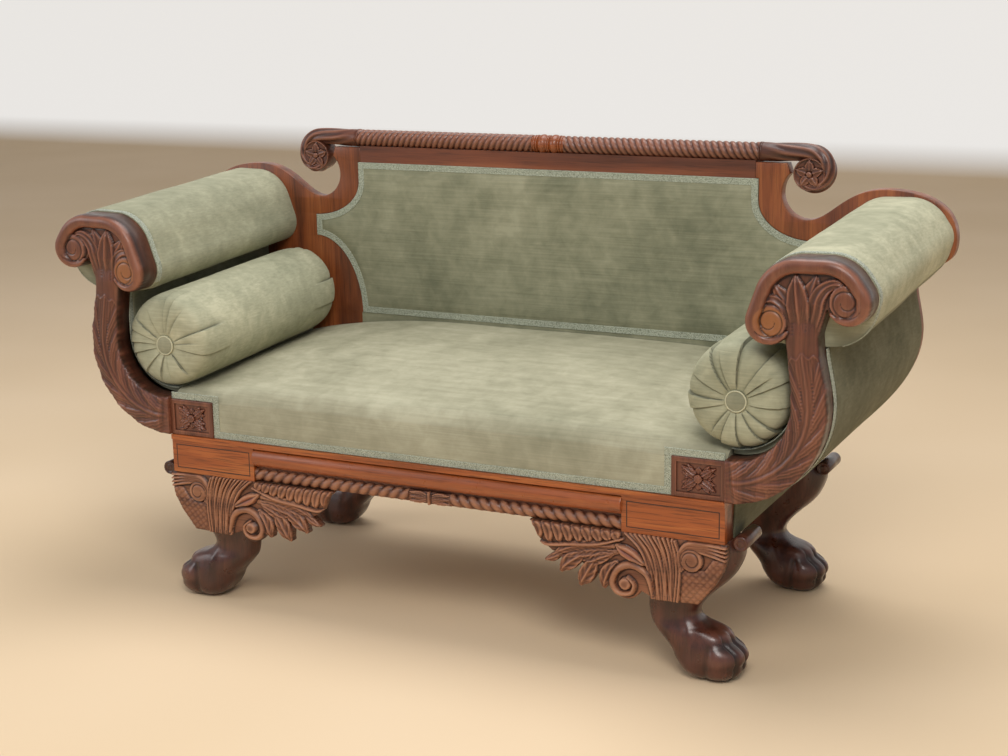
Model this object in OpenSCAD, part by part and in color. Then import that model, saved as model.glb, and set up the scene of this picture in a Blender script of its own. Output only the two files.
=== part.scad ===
// Small Empire settee with scrolled arms, rope-twist crest, winged brackets and lion's-paw legs.
// X runs along the seat, Y from front to back, Z up. The floor is at zero.
// Heights count from the floor, depths from the front face of the seat rail, and the
// outlines below give the right-hand half. The left-hand half is its mirror image.

/* [Seat frame] */
// Half of the width over the end blocks of the front rail
block_half_w = 580; // [540:1:620]
// Width of each veneered end block
panel_w = 192; // [150:1:220]
// Height of the rails' underside above the floor
rail_z = 266; // [240:1:290]
// Height of the front rail under its top fillet
rail_h = 67; // [60:1:75]
// Height of the fillet along the top of the front rail
fillet_h = 10; // [8:1:14]
// Depth from the front of the rail to the back boards
seat_depth = 542; // [500:1:600]
// Thickness of the rails
rail_t = 32; // [26:1:40]
// Thickness of the boards that form the back
board_t = 28; // [22:1:34]

/* [Legs] */
// Width of a leg from its inner edge to the toe
leg_w = 183; // [160:1:200]
// Thickness of a leg from front to back
leg_t = 80; // [64:1:90]
// Distance from the front of the rail to the front of a leg
leg_inset = 14; // [10:1:20]
// Distance that the rear legs stand out behind the back boards
rear_overhang = 25; // [10:1:40]

/* [Arms] */
// Width of the scroll at the top of an arm
head_w = 212; // [190:1:230]
// Height of the scroll's lowest point above the seat deck
head_rise = 283; // [260:1:310]
// Width of the rounded moulding round the scroll
band_w = 26; // [20:1:30]
// Outer radius of the arm's lower sweep
sweep_r = 176.5; // [165:0.5:185]
// Inner radius of the arm's lower sweep
inner_r = 104; // [96:1:110]
// Thickness of the carved arm front
arm_front_t = 36; // [30:1:44]
// How much the arm rises from front to back
arm_rise = 26; // [10:1:36]

/* [Back] */
// Distance from an end of the front rail to the side of the upholstered panel
panel_inset = 128; // [110:1:150]
// Height of the panel's lower edge
panel_z = 498; // [485:1:510]
// Height of the panel from its lower to its upper edge
panel_h = 331; // [300:1:345]
// Reach of the panel's ears beyond its sides
ear_w = 111; // [90:1:120]
// Height of the straight edge of an ear
ear_h = 46; // [30:1:60]
// Height of the crest rail's centre above the panel
crest_rise = 51; // [44:1:60]
// Diameter of the rope-twist crest rail
twist_d = 37; // [32:1:40]
// Distance that the straight crest rail reaches past each side of the panel
crest_reach = 6; // [2:1:12]

/* [Upholstery] */
// Height of the seat's crown over its edges
crown_h = 40; // [20:1:55]
// Diameter of a bolster
bolster_d = 190; // [170:1:196]
// Distance between a bolster's far end and the back boards
bolster_gap = 12; // [6:1:40]
// Width of the gimp braid
gimp_w = 14; // [8:1:18]
// Number of pleats round a bolster's end
pleats = 16; // [8:1:20]

/* [Hidden] */

// Clearances and small common sizes
fit = 0.3;          // gap between a covering and what it lies against
touch = 0.1;        // gap between sheets that are tacked flat on each other
overrun = 2;        // how far a cut runs past what it cuts
sink = 1;           // how far carving is rooted in the wood behind it
fine = 48;          // facets of a turned part
flip = [-1, 1];     // the two sides

// Heights that follow from the driving sizes
rail_top = rail_z + rail_h;
deck_z = rail_top + fillet_h;
block_h = 72;
block_w = 99;
block_t = 46;
block_top = deck_z + block_h;
web_t = 1.6;
hessian_t = 1.2;
ledge_top = deck_z - 2 * web_t - hessian_t - 3 * touch;
back_y = seat_depth + board_t;
leg_rear_y = back_y + rear_overhang - leg_t;
panel_top = panel_z + panel_h;
crest_z = panel_top + crest_rise;

// Widths that follow from them
panel_half_w = block_half_w - panel_inset;
crest_half_w = panel_half_w + crest_reach;
stile_lap = 3;       // how far an end board laps behind the panel's side
stile_x = panel_half_w + stile_lap;
seam = 6;            // how far the crest board's ends lie inside the panel's sides
seam_x = panel_half_w - seam;

// Places everything so that the origin is under the middle of the settee
module placed() translate([0, -middle_y, 0]) children();
module mirrored() mirror([1, 0, 0]) children();
module both() { children(); mirrored() children(); }

// A flat outline in X and Z, made solid from depth y0 to depth y1
module upright(y0, y1) translate([0, y1, 0]) rotate([90, 0, 0])
    linear_extrude(y1 - y0) children();

// A block between two corners
module block(low, high) translate(low) cube(high - low);

// Puts a carving made flat on XY onto the front face at x, z, turned by angle
module on_face(x, y, z, angle) translate([x, y, z]) rotate([90, 0, 0])
    rotate([0, 0, angle]) children();

// Outline helpers
function arc(c, r, from, to, n) =
    [for (i = [0:n]) let (a = from + (to - from) * i / n) c + r * [cos(a), sin(a)]];
function quarter(c, rx, rz, from, to, n) =
    [for (i = [0:n]) let (a = from + (to - from) * i / n) c + [rx * cos(a), rz * sin(a)]];
function bez(a, b, c, d, n) = [for (i = [0:n]) let (t = i / n, s = 1 - t)
    s * s * s * a + 3 * s * s * t * b + 3 * s * t * t * c + t * t * t * d];
function tail(p) = [for (i = [1:len(p) - 1]) p[i]];
function back_to_front(p) = [for (i = [len(p) - 1:-1:0]) p[i]];
function moved(p, by) = [for (q = p) q + by];
function unit(v) = v / norm(v);
// Directions to the left of a path at its points, and the path moved that way by d
function lefts(p) = let (n = len(p) - 1) [for (i = [0:n])
    let (t = unit(p[min(n, i + 1)] - p[max(0, i - 1)])) [-t[1], t[0]]];
function beside(p, d) = let (l = lefts(p)) [for (i = [0:len(p) - 1]) p[i] + d * l[i]];
function between(list, k) = let (i = floor(k), f = k - i)
    f == 0 ? list[i] : list[i] * (1 - f) + list[i + 1] * f;
// The same closed outline, grown on all sides by g
function grown(p, g) = let (n = len(p)) [for (i = [0:n - 1])
    let (a = unit(p[i] - p[(i + n - 1) % n]), b = unit(p[(i + 1) % n] - p[i]),
         na = [a[1], -a[0]], nb = [b[1], -b[0]])
    p[i] + g * (na + nb) / (1 + na * nb)];
// The tight band round several circles, sampled by the direction it faces
function round_hull(circles, grow, from, to, n) = [for (i = [0:n])
    let (a = from + (to - from) * i / n, d = [cos(a), sin(a)],
         reach = [for (c = circles) c[0] * d[0] + c[1] * d[1] + c[2]],
         most = max(reach),
         k = [for (j = [0:len(circles) - 1]) if (reach[j] == most) j][0])
    [circles[k][0], circles[k][1]] + (circles[k][2] + grow) * d];

// Faces of a skin through n rings of m points, each ring counted clockwise as it is
// seen from the first one
function skin_faces(n, m) = concat(
    [for (i = [0:n - 2]) for (j = [0:m - 1]) each [
        [i * m + j, (i + 1) * m + j, (i + 1) * m + (j + 1) % m],
        [i * m + j, (i + 1) * m + (j + 1) % m, i * m + (j + 1) % m]]],
    [[for (j = [0:m - 1]) j]],
    [[for (j = [m - 1:-1:0]) (n - 1) * m + j]]);
module skin(rings) polyhedron([for (r = rings) each r],
    skin_faces(len(rings), len(rings[0])), convexity = 8);
// The same for rings that are thin strips, out along one side and back along the other:
// both sides are split alike, so that they stay apart where the strip twists, and the
// hollow ends are closed from side to side
function strip_faces(n, m) = concat(
    [for (i = [0:n - 2]) for (j = [0:m - 1])
        let (a = i * m + j, b = a + m, c = i * m + (j + 1) % m, d = c + m)
        each j < m / 2 ? [[a, b, d], [a, d, c]] : [[a, b, c], [b, d, c]]],
    [for (i = [0:m / 2 - 2]) each [[i, i + 1, m - 2 - i], [i, m - 2 - i, m - 1 - i]]],
    [for (i = [0:m / 2 - 2]) let (k = (n - 1) * m) each [
        [k + i + 1, k + i, k + m - 2 - i], [k + m - 2 - i, k + i, k + m - 1 - i]]]);
module strip_skin(rings) polyhedron([for (r = rings) each r],
    strip_faces(len(rings), len(rings[0])), convexity = 8);
function at_y(p, y) = [for (q = p) [q[0], y, q[1]]];

// A solid between an outline at the front and its partner at the back
module loft(front, rear, y0, y1) skin([at_y(front, y0), at_y(rear, y1)]);

// A carved leaf with a raised midrib: it lies on XY and points along X
leaf_width_shares = [0.34, 0.92, 0.98, 0.62, 0.06];
leaf_ridge_shares = [0.60, 0.96, 1.00, 0.78, 0.12];
module leaf(l, w, h, bend = 0) {
    n = len(leaf_width_shares) - 1;
    skin([for (i = [0:n]) let (t = i / n, half = w / 2 * leaf_width_shares[i])
        [[l * t, bend * t * t - half, -sink / 3], [l * t, bend * t * t, -sink],
         [l * t, bend * t * t + half, -sink / 3],
         [l * t, bend * t * t, h * leaf_ridge_shares[i]]]]);
}

// A half-round band along a path of [x, z, facing angle, half width, height]
band_shares = [[-1, -0.25], [-0.86, 0.6], [0, 1], [0.86, 0.6], [1, -0.25]];
module band(path, y) skin([for (p = path) [for (s = band_shares)
    [p[0] + s[0] * p[3] * cos(p[2]), y - s[1] * p[4], p[1] + s[0] * p[3] * sin(p[2])]]]);

// A spiral about c that turns from angle a0 by turn, with its radius and half width
// shrinking from r0 and w0 to r1 and w1
function spiral(c, r0, r1, w0, w1, h, a0, turn, n) = [for (i = [0:n])
    let (t = i / n, a = a0 + turn * t, r = r0 + (r1 - r0) * t,
         w = w0 + (w1 - w0) * pow(t, 0.6))
    [c[0] + r * cos(a), c[1] + r * sin(a), a, w, h * (1 - 0.2 * t)]];

// SEAT FRAME
panel_t = 12;                   // thickness of the veneered end blocks
rail_back = rail_t + panel_t;   // back face of the front rail
end_rail_w = 35;
end_rail_x = block_half_w - end_rail_w;   // inner face of an end rail
brace_x = 190;                  // middle of a seat stretcher
brace_w = 44;
brace_drop = 30;                // how far the stretchers lie under the rail's ledge
brace_t = 24;

module front_rail() color("burlywood") placed() difference() {
    block([-block_half_w, panel_t, rail_z], [block_half_w, rail_back, ledge_top]);
    block([-block_half_w - overrun, panel_t - overrun, rail_top],
          [block_half_w + overrun, fillet_back + fit, deck_z]);
}
fillet_back = 22;
module back_rail() color("burlywood") placed()
    block([-stile_x + fit, seat_depth, rail_z], [stile_x - fit, back_y, ledge_top]);
module end_rail() color("burlywood") placed()
    block([end_rail_x, rail_back, rail_z], [block_half_w - fit, seat_depth - touch, ledge_top]);
module seat_stretchers() color("burlywood") placed() both()
    block([brace_x - brace_w / 2, rail_back, ledge_top - brace_drop - brace_t],
          [brace_x + brace_w / 2, seat_depth - touch, ledge_top - brace_drop]);

glue_block = 84;     // length of a corner block along the rails
glue_block_h = 58;
screw_r = 2.5;
screw_l = 40;
front_block_low = [end_rail_x - glue_block, rail_back, rail_z];
rear_block_low = [end_rail_x - glue_block, seat_depth - touch - glue_block, rail_z];
block_size = [glue_block, glue_block, glue_block_h];

// A corner block is a right-angled wedge with its square corner in the rails' corner
module wedge(rear) {
    low = rear ? rear_block_low : front_block_low;
    a = [low[0], rear ? low[1] + glue_block : low[1]];
    b = [low[0] + glue_block, a[1]];
    c = [b[0], rear ? low[1] : low[1] + glue_block];
    translate([0, 0, rail_z]) linear_extrude(glue_block_h)
        polygon(rear ? [b, a, c] : [a, b, c]);
}
screw_offset = 24;
module screws() {
    for (rear = [false, true]) {
        y = rear ? rear_block_low[1] + glue_block - screw_offset : rail_back + screw_offset;
        for (k = [0, 1])
            translate([end_rail_x - screw_offset - screw_offset * k,
                       y, rail_z + glue_block_h - screw_l])
                cylinder(r = screw_r, h = screw_l, $fn = 24);
    }
}
module corner_blocks() color("tan") placed() both() difference() {
    union() { wedge(false); wedge(true); }
    screws();
}
module corner_block_screws() color("dimgray") placed() both() screws();

// FRONT RAIL TRIM
line_w = 2.2;        // width of the dark string inlay
line_t = 0.8;
line_inset = 9;      // from the edge of the block to the line
panel_x = block_half_w - panel_w;
module line_frame(grow) difference() {
    upright(0, line_t) polygon([
        [panel_x + line_inset, rail_z + line_inset],
        [block_half_w - line_inset, rail_z + line_inset],
        [block_half_w - line_inset, rail_top - line_inset],
        [panel_x + line_inset, rail_top - line_inset]]);
    upright(-overrun, line_t + overrun) polygon([
        [panel_x + line_inset + line_w, rail_z + line_inset + line_w],
        [block_half_w - line_inset - line_w, rail_z + line_inset + line_w],
        [block_half_w - line_inset - line_w, rail_top - line_inset - line_w],
        [panel_x + line_inset + line_w, rail_top - line_inset - line_w]]);
}
module rail_panel() color("sienna") placed() difference() {
    block([panel_x, 0, rail_z], [block_half_w, panel_t, rail_top]);
    line_frame();
}
module string_inlay() color("black") placed() both() line_frame();
fillet_proud = 3;
module rail_fillet() color("sienna") placed()
    block([-block_half_w, -fillet_proud, rail_top], [block_half_w, fillet_back, deck_z]);

rope_r = 12.5;
rope_gap = 4;        // plain strip between the rope and the half-round moulding
half_round_r = (rail_h - 2 * rope_r - rope_gap) / 2;
half_round_z = rail_top - half_round_r;
module half_round_moulding() color("peru") placed() intersection() {
    translate([-panel_x, panel_t, half_round_z]) rotate([0, 90, 0])
        cylinder(r = half_round_r, h = 2 * panel_x, $fn = fine);
    block([-panel_x, panel_t - half_round_r - overrun, rail_z], [panel_x, panel_t, rail_top]);
}

rope_groove = 4;
rope_pitch = 21.5;   // from ridge to ridge along the moulding
centre_leaf_l = 44;  // half of the leaf carving at the middle of the rope moulding
rope_l = panel_x - centre_leaf_l;
rope_across_n = 7;
rope_along_n = 56;
small_leaf_w = 11;
small_leaf_h = 3.5;
leaf_lift = 2;       // how far the middle's leaves stand over the bottom of the grooves
// A half-round rod whose ridges run across it at a slant
function rope_row(x) = [for (j = [0:rope_across_n]) let (a = 90 - 180 * j / rope_across_n,
        r = rope_r - rope_groove * (0.5 - 0.5 * cos(2 * a + 360 * x / rope_pitch)))
    [x, panel_t - r * cos(a), rail_z + rope_r + r * sin(a)]];
module rope_moulding() color("sienna") placed()
    skin([for (i = [0:rope_along_n]) rope_row(centre_leaf_l + rope_l * i / rope_along_n)]);
module rope_centre_leaf() color("sienna") placed() {
    intersection() {
        translate([-centre_leaf_l, panel_t, rail_z + rope_r]) rotate([0, 90, 0])
            cylinder(r = rope_r - rope_groove, h = 2 * centre_leaf_l, $fn = fine);
        block([-centre_leaf_l, panel_t - rope_r, rail_z], [centre_leaf_l, panel_t, rail_top]);
    }
    for (side = [0, 180]) for (k = [-1, 0, 1])
        on_face(0, panel_t - rope_r + rope_groove + leaf_lift, rail_z + rope_r, side)
            rotate([k * 55, 0, 0]) leaf(centre_leaf_l, small_leaf_w, small_leaf_h);
}

rosette_frame = 9;   // plain border round the rosette's sunk square
rosette_depth = 3;
rosette_x = block_half_w - block_w / 2;
rosette_z = deck_z + block_h / 2;
petal_l = 33;
petal_w = 17;
petal_h = 4;
boss_r = 7;
small_boss_r = 5;
module rosette(x, y, z, l, w, h, angles, boss) {
    for (a = angles) on_face(x, y, z, a) translate([boss / 2, 0, 0]) leaf(l, w, h);
    on_face(x, y, z, 0) translate([0, 0, -sink]) cylinder(r1 = boss, r2 = boss / 2,
        h = h + sink, $fn = 16);
}
module rosette_block() color("sienna") placed() {
    difference() {
        block([block_half_w - block_w, 0, deck_z], [block_half_w, block_t, block_top]);
        block([block_half_w - block_w + rosette_frame, -overrun, deck_z + rosette_frame],
              [block_half_w - rosette_frame, rosette_depth, block_top - rosette_frame]);
    }
    rosette(rosette_x, rosette_depth, rosette_z, petal_l, petal_w, petal_h,
            [34, 146, 214, 326], boss_r);
    rosette(rosette_x, rosette_depth, rosette_z, petal_l * 0.6, petal_w * 0.6, petal_h * 0.8,
            [0, 90, 180, 270], small_boss_r);
}

// LEGS
// Rows from the floor up: share of the leg's height, of its width at the inner and the
// outer edge, and of its thickness to each side
leg_shares = [
    [0.000, 0.486, 0.880, 0.525], [0.034, 0.404, 0.923, 0.590], [0.075, 0.350, 0.967, 0.612],
    [0.132, 0.290, 1.000, 0.625], [0.188, 0.251, 0.978, 0.600], [0.233, 0.197, 0.934, 0.575],
    [0.271, 0.142, 0.874, 0.540], [0.308, 0.093, 0.814, 0.500], [0.338, 0.055, 0.749, 0.475],
    [0.365, 0.033, 0.628, 0.450], [0.406, 0.016, 0.536, 0.425], [0.459, 0.005, 0.514, 0.425],
    [0.534, 0.005, 0.579, 0.450], [0.609, 0.016, 0.683, 0.475], [0.714, 0.038, 0.842, 0.500],
    [0.820, 0.071, 0.934, 0.500], [0.921, 0.120, 0.967, 0.500], [1.000, 0.158, 0.913, 0.500]];
outer_side_shares = [-1, -0.75, -0.5, -0.25, 0, 0.25, 0.5, 0.75, 1];
inner_side_shares = [0.8, 0.4, 0, -0.4, -0.8];
leg_roundness = 2.8;
toe_groove = 8;      // depth of the grooves between the toes
toe_share = 0.34;    // share of the leg's height up to the knuckles
toe_reach = 26;      // how far the toes reach past the end of the front rail
leg_x = block_half_w + toe_reach - leg_w;
knob_r = 14;
knob_x = leg_x + leg_w * 0.985;
function bulge(v) = pow(max(0, 1 - pow(abs(v), leg_roundness)), 1 / leg_roundness);
function groove(v, share) = share > toe_share ? 0
    : toe_groove * (1 - abs(sin(360 * v))) * min(1, (toe_share - share) / 0.1 + 0.3);
function leg_ring(s) = let (lo = leg_w * s[1], hi = leg_w * s[2], c = (lo + hi) / 2,
        a = (hi - lo) / 2, b = leg_t * s[3], z = rail_z * s[0]) concat(
    [for (v = outer_side_shares) [leg_x + c + a * bulge(v) - (abs(v) < 1 ? groove(v, s[0]) : 0),
        leg_t / 2 + b * v, z]],
    [for (v = inner_side_shares) [leg_x + c - a * bulge(v), leg_t / 2 + b * v, z]]);
module leg(y) color("saddlebrown") placed() translate([0, y, 0]) {
    skin([for (s = leg_shares) leg_ring(s)]);
    translate([knob_x, leg_t, rail_z]) rotate([90, 0, 0])
        cylinder(r = knob_r, h = leg_t, $fn = fine);
}

// BRACKETS
wing_x = 197;        // tip of the wing
wing_over = 5;       // how far the bracket reaches past the end of the front rail
wing_right = block_half_w + wing_over;
wing_w = wing_right - wing_x;
wing_h = 116;
wing_back = leg_inset - touch;
wing_front = 1;      // face of the wing's ground, with the carving standing out of it
carve_h = 7;
carve_step = 1;      // how far each layer of the carving lies over the one before
wing_outline_shares = [[0, 0.985], [0.05, 0.80], [0.10, 0.60], [0.17, 0.50], [0.27, 0.42],
    [0.38, 0.36], [0.49, 0.27], [0.555, 0.13], [0.617, 0.01], [0.85, 0], [0.905, 0.24],
    [0.943, 0.50], [0.962, 0.74], [1, 0.86], [1, 0.985]];
function wing_at(s) = [wing_x + wing_w * s[0], rail_z - wing_h + wing_h * s[1]];
// Leaves of the wing: place, direction, length, width, bend
upper_ribs = 8;
drop_shares = [[0.20, 0.46, 205, 0.15, 0.065], [0.27, 0.44, 232, 0.15, 0.075],
    [0.35, 0.40, 258, 0.155, 0.08], [0.42, 0.36, 268, 0.13, 0.075],
    [0.60, 0.62, 195, 0.46, 0.085], [0.55, 0.86, 187, 0.50, 0.07],
    [0.52, 0.66, 318, 0.15, 0.085]];
curl_shares = [0.492, 0.215];
curl_r = 24;
upper_curl_shares = [0.825, 0.72];
upper_curl_r = 22;
reed_count = 6;
reed_w = 12;
module bracket() color("sienna") placed() {
    upright(wing_front, wing_back) {
        polygon([for (s = wing_outline_shares) wing_at(s)]);
        translate(wing_at(curl_shares)) circle(r = curl_r, $fn = 32);
    }
    for (i = [0:upper_ribs - 1]) {
        p = wing_at([0.10 + 0.052 * i, 0.90 - 0.006 * i]);
        on_face(p[0], wing_front, p[1], 286 - 2 * i)
            leaf(wing_h * (0.17 + 0.012 * i), wing_w * 0.055, carve_h, wing_h * -0.05);
    }
    for (s = drop_shares) {
        p = wing_at(s);
        on_face(p[0], wing_front, p[1], s[2]) leaf(wing_w * s[3], wing_w * s[4], carve_h + carve_step);
    }
    for (i = [0:reed_count - 1]) {
        top = wing_at([0.575 + 0.036 * i, 0.97]);
        foot = wing_at([0.632 + 0.026 * i, 0.04]);
        p = bez(top, top + [wing_w * 0.09, wing_h * -0.25],
                foot + [wing_w * 0.04, wing_h * 0.35], foot, 4);
        band([for (q = back_to_front(p)) [q[0], q[1], 0,
            reed_w / 2 * (1 - 0.25 * i / reed_count), carve_h]], wing_front);
    }
    band(back_to_front(spiral(wing_at(curl_shares), curl_r * 0.76, curl_r * 0.2,
        curl_r * 0.24, curl_r * 0.18, carve_h + 3 * carve_step, 20, -400, 14)), wing_front);
    band(spiral(wing_at(upper_curl_shares), upper_curl_r * 0.8, upper_curl_r * 0.2,
        upper_curl_r * 0.24, upper_curl_r * 0.18, carve_h + 2 * carve_step, 130, 380, 13),
        wing_front);
}

// ARMS
post_x = block_half_w;
post_front = -6;
post_back = post_front + arm_front_t;
foot_h = 77;         // height of the arm front where it leaves the rosette block
neck_rise = 302;     // height of the neck above the deck
neck_in_reach = 101; // from the post's inner edge to the two sides of the neck
neck_out_reach = 158;
head_reach = 35;     // and to the scroll's lowest left-hand corner
neck_z = deck_z + neck_rise;
neck_in = post_x + neck_in_reach;
neck_out = post_x + neck_out_reach;
head_x = post_x + head_reach;
head_z = deck_z + head_rise;
// The scroll is the band round four circles: centre x, centre z and radius, as shares
// of its width, from its lowest left-hand corner
head_shares = [[0.198, 0.193, 0.198], [0.429, 0.340, 0.368], [0.627, 0.354, 0.3585],
    [0.802, 0.382, 0.198]];
function head_circles(dx, dz) = [for (s = head_shares)
    [head_x + dx + head_w * s[0], head_z + dz + head_w * s[1], head_w * s[2]]];
head = head_circles(0, 0);
arm_spread = 4;      // how much the arm moves outward from front to back
head_rear = head_circles(arm_spread, arm_rise);
low_c = [head[0][0], head[0][1]];
high_c = [head[3][0], head[3][1]];
volute_from = 200;   // where the moulding leaves the lower volute
volute_to = -10;     // where it enters the upper one
sweep_c = [post_x, deck_z + sweep_r];
inner_shift = 10;
inner_c = [post_x + inner_shift, deck_z + foot_h + inner_r];
sweep_n = 10;
rise_n = 4;
outer_pull = 45;     // length of the curves' handles, and how far the inner one leans
inner_pull = 42;
inner_lean = 6;
outer_edge = concat(arc(sweep_c, sweep_r, -90, 0, sweep_n),
    tail(bez(sweep_c + [sweep_r, 0], sweep_c + [sweep_r, outer_pull],
        [neck_out, neck_z - outer_pull], [neck_out, neck_z], rise_n)));
inner_edge = concat([[post_x, inner_c[1] - inner_r]], arc(inner_c, inner_r, -88, 0, sweep_n),
    tail(bez(inner_c + [inner_r, 0], inner_c + [inner_r, inner_pull],
        [neck_in + inner_lean, neck_z - inner_pull], [neck_in, neck_z], rise_n)));
plate_front = -9;    // ground of the carving inside the scroll
arch_h = 16;         // how far the rounded moulding stands out
// Halfway between the front of that moulding and the back of the rear paws
leg_widest_share = 0.625;
middle_y = (plate_front - arch_h + leg_rear_y + leg_t * (0.5 + leg_widest_share)) / 2;
// The palmette inside the scroll: direction of each petal, its length and width shares
fan_shares = [[38, 0.72, 0.72, -0.16], [66, 0.90, 0.90, -0.05], [98, 1.00, 1.00, 0],
    [128, 0.84, 0.86, 0.05], [152, 0.55, 0.66, 0.12]];
fan_reach = 136;
fan_rise = 8;
fan_c = [post_x + fan_reach, neck_z + fan_rise];
fan_l = 82;
fan_w = 34;
fan_h = 9;
// The long leaf carved down the post: slanting lobes on both sides of a raised vein
leaf_lobes = 7;      // lobes down each side
leaf_rows = 28;
leaf_w_share = 0.40; // half of its width, as a share of the post's
leaf_h = 7;
leaf_lag = 0.05;     // how far the tips of the lobes trail the vein, along the post
mid_path = [for (i = [0:len(outer_edge) - 1]) (outer_edge[i] + inner_edge[i + 1]) / 2];
half_path = [for (i = [0:len(outer_edge) - 1]) norm(outer_edge[i] - inner_edge[i + 1]) / 2];
left_path = lefts(mid_path);
function leaf_row(u) = let (last = len(mid_path) - 1, k = last * (0.10 + 0.78 * u),
        back = k - last * leaf_lag * min(1, 6 * u, 6 * (1 - u)),
        lobe = 0.5 - 0.5 * cos(360 * leaf_lobes * u),
        taper = min(1, 5 * u + 0.3, 5 * (1 - u) + 0.35),
        w = 2 * leaf_w_share * (0.74 + 0.26 * lobe) * taper * between(half_path, back),
        c = between(mid_path, k), e = between(mid_path, back), d = between(left_path, back),
        a = e + w * d, b = e - w * d, a2 = (a + c) / 2, b2 = (b + c) / 2,
        high = leaf_h * (0.35 + 0.45 * lobe))
    [[c[0], post_front + sink, c[1]], [a[0], post_front + sink / 2, a[1]],
     [a2[0], post_front - high, a2[1]], [c[0], post_front - leaf_h, c[1]],
     [b2[0], post_front - high, b2[1]], [b[0], post_front + sink / 2, b[1]]];

// How a volute's moulding narrows as it turns in: outer and inner radius at share x of a turn
volute_r = head_w * head_shares[0][2];
function volute_outer(x) = volute_r * (1 - 0.62 * pow(x, 1.5));
function volute_inner(x) = (volute_r - band_w) * (1 + 2.4 * x);
// Points of a volute's rim, and of the moulding along it, turning to the left or the right
function volute_rim(c, from, hand, grow, turn, n) = [for (i = [0:n])
    let (x = turn * i / n, a = from + hand * 360 * x)
    c + (volute_outer(x) + grow) * [cos(a), sin(a)]];
function volute_band(c, from, hand, turn, n) = [for (i = [0:n])
    let (x = turn * i / n, a = from + hand * 360 * x, ro = volute_outer(x),
         ri = volute_inner(x))
    [c[0] + (ro + ri) / 2 * cos(a), c[1] + (ro + ri) / 2 * sin(a), a, (ro - ri) / 2,
     arch_h * (1 - 0.25 * x)]];
rim_turn_share = 0.66;
band_turn_share = 0.36;
disc_share = 0.66;   // radius of the round boss inside a volute, as a share of the volute's
disc_h = 6;
ridge_w = 4.4;       // width of the spiral ridge on the boss
function head_outline(grow) = concat(
    back_to_front(volute_rim(low_c, volute_from, 1, grow, rim_turn_share, 14)),
    tail(round_hull(head, grow, volute_from, volute_to, 26)),
    tail(volute_rim(high_c, volute_to, -1, grow, rim_turn_share, 14)));
neck_top = (high_c + low_c) / 2 + [0, head_w * 0.2];
neck = [[neck_out, neck_z], high_c + [-volute_r * 0.78, -volute_r * 0.3], neck_top,
    low_c + [volute_r * 0.74, -volute_r * 0.3], [neck_in, neck_z]];
rim_inset = 0.5;     // how far the board stays inside the moulding that covers its edge
module arm_front() color("sienna") placed() {
    upright(post_front, post_back) {
        polygon(concat(outer_edge, [for (i = [1:3]) neck[i]], back_to_front(inner_edge)));
        polygon(head_outline(-rim_inset));
    }
    upright(plate_front, post_front + sink) {
        polygon(neck);
        polygon(head_outline(-4 * rim_inset));
    }
    arch_n = 20;
    arch = round_hull(head, -band_w / 2, volute_from, volute_to, arch_n);
    band(back_to_front(concat(
        back_to_front(volute_band(low_c, volute_from, 1, band_turn_share, 6)),
        tail([for (i = [0:arch_n]) [arch[i][0], arch[i][1],
            volute_from + (volute_to - volute_from) * i / arch_n, band_w / 2, arch_h]]),
        tail(volute_band(high_c, volute_to, -1, band_turn_share, 6)))), plate_front);
    for (c = [low_c, high_c]) upright(plate_front - disc_h, post_front + sink)
        translate(c) circle(r = volute_r * disc_share, $fn = 32);
    inner = volute_r - band_w - ridge_w;
    band(spiral(low_c, inner, inner * 0.4, ridge_w / 2, ridge_w / 2, ridge_w, volute_from,
        330, 11), plate_front - disc_h);
    band(back_to_front(spiral(high_c, inner, inner * 0.4, ridge_w / 2, ridge_w / 2, ridge_w,
        volute_to, -330, 11)), plate_front - disc_h);
    upright(plate_front - fan_h * 0.85, post_front + sink) translate(fan_c)
        circle(r = fan_w * 0.3, $fn = 16);
    for (s = fan_shares) on_face(fan_c[0], plate_front, fan_c[1], s[0])
        leaf(fan_l * s[1], fan_w * s[2], fan_h, fan_l * s[3]);
    skin([for (i = [0:leaf_rows]) leaf_row(i / leaf_rows)]);
}

// Distance of a point below the scroll's section, and that point moved to a given distance
function roll_gap(p, circles) = max([for (a = [180:5:355]) let (d = [cos(a), sin(a)])
    p * d - max([for (c = circles) c[0] * d[0] + c[1] * d[1] + c[2]])]);
function under_roll(p, circles, gap, k = 12) = k == 0 ? p
    : under_roll(p + [0, roll_gap(p, circles) - gap], circles, gap, k - 1);
cover_t = 12;        // padding and velvet on the roll
cover_proud = 3;     // how far the velvet stands over the wooden scroll
arm_y = post_back + touch;
cover_y = arm_y + gimp_w + touch;
arm_end = seat_depth - fit;
roll_facets = 48;
// A slice of the arm at depth y lies part of the way from its front to its rear section
function arm_share(y) = (y - arm_y) / (arm_end - arm_y);
function circles_at(y) = head_circles(arm_spread * arm_share(y), arm_rise * arm_share(y));
function head_at(y, grow) = round_hull(circles_at(y), grow,
    360 * (roll_facets - 1) / roll_facets, 0, roll_facets - 1);
// A path up an arm, with its last point taken to just under the roll
function ended(p, y) = let (n = len(p) - 1) [for (i = [0:n])
    i < n ? p[i] : under_roll(p[i], circles_at(y), cover_proud + fit + touch)];
module roll_solid(grow, y0, y1) loft(head_at(y0, grow), head_at(y1, grow), y0, y1);
module arm_roll_core() color("burlywood") placed()
    roll_solid(-cover_t + cover_proud, arm_y, arm_end);
module arm_roll_cover() color("darkseagreen") placed() difference() {
    roll_solid(cover_proud, cover_y, arm_end);
    roll_solid(-cover_t + cover_proud + touch, cover_y - overrun, arm_end + overrun);
}

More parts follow.
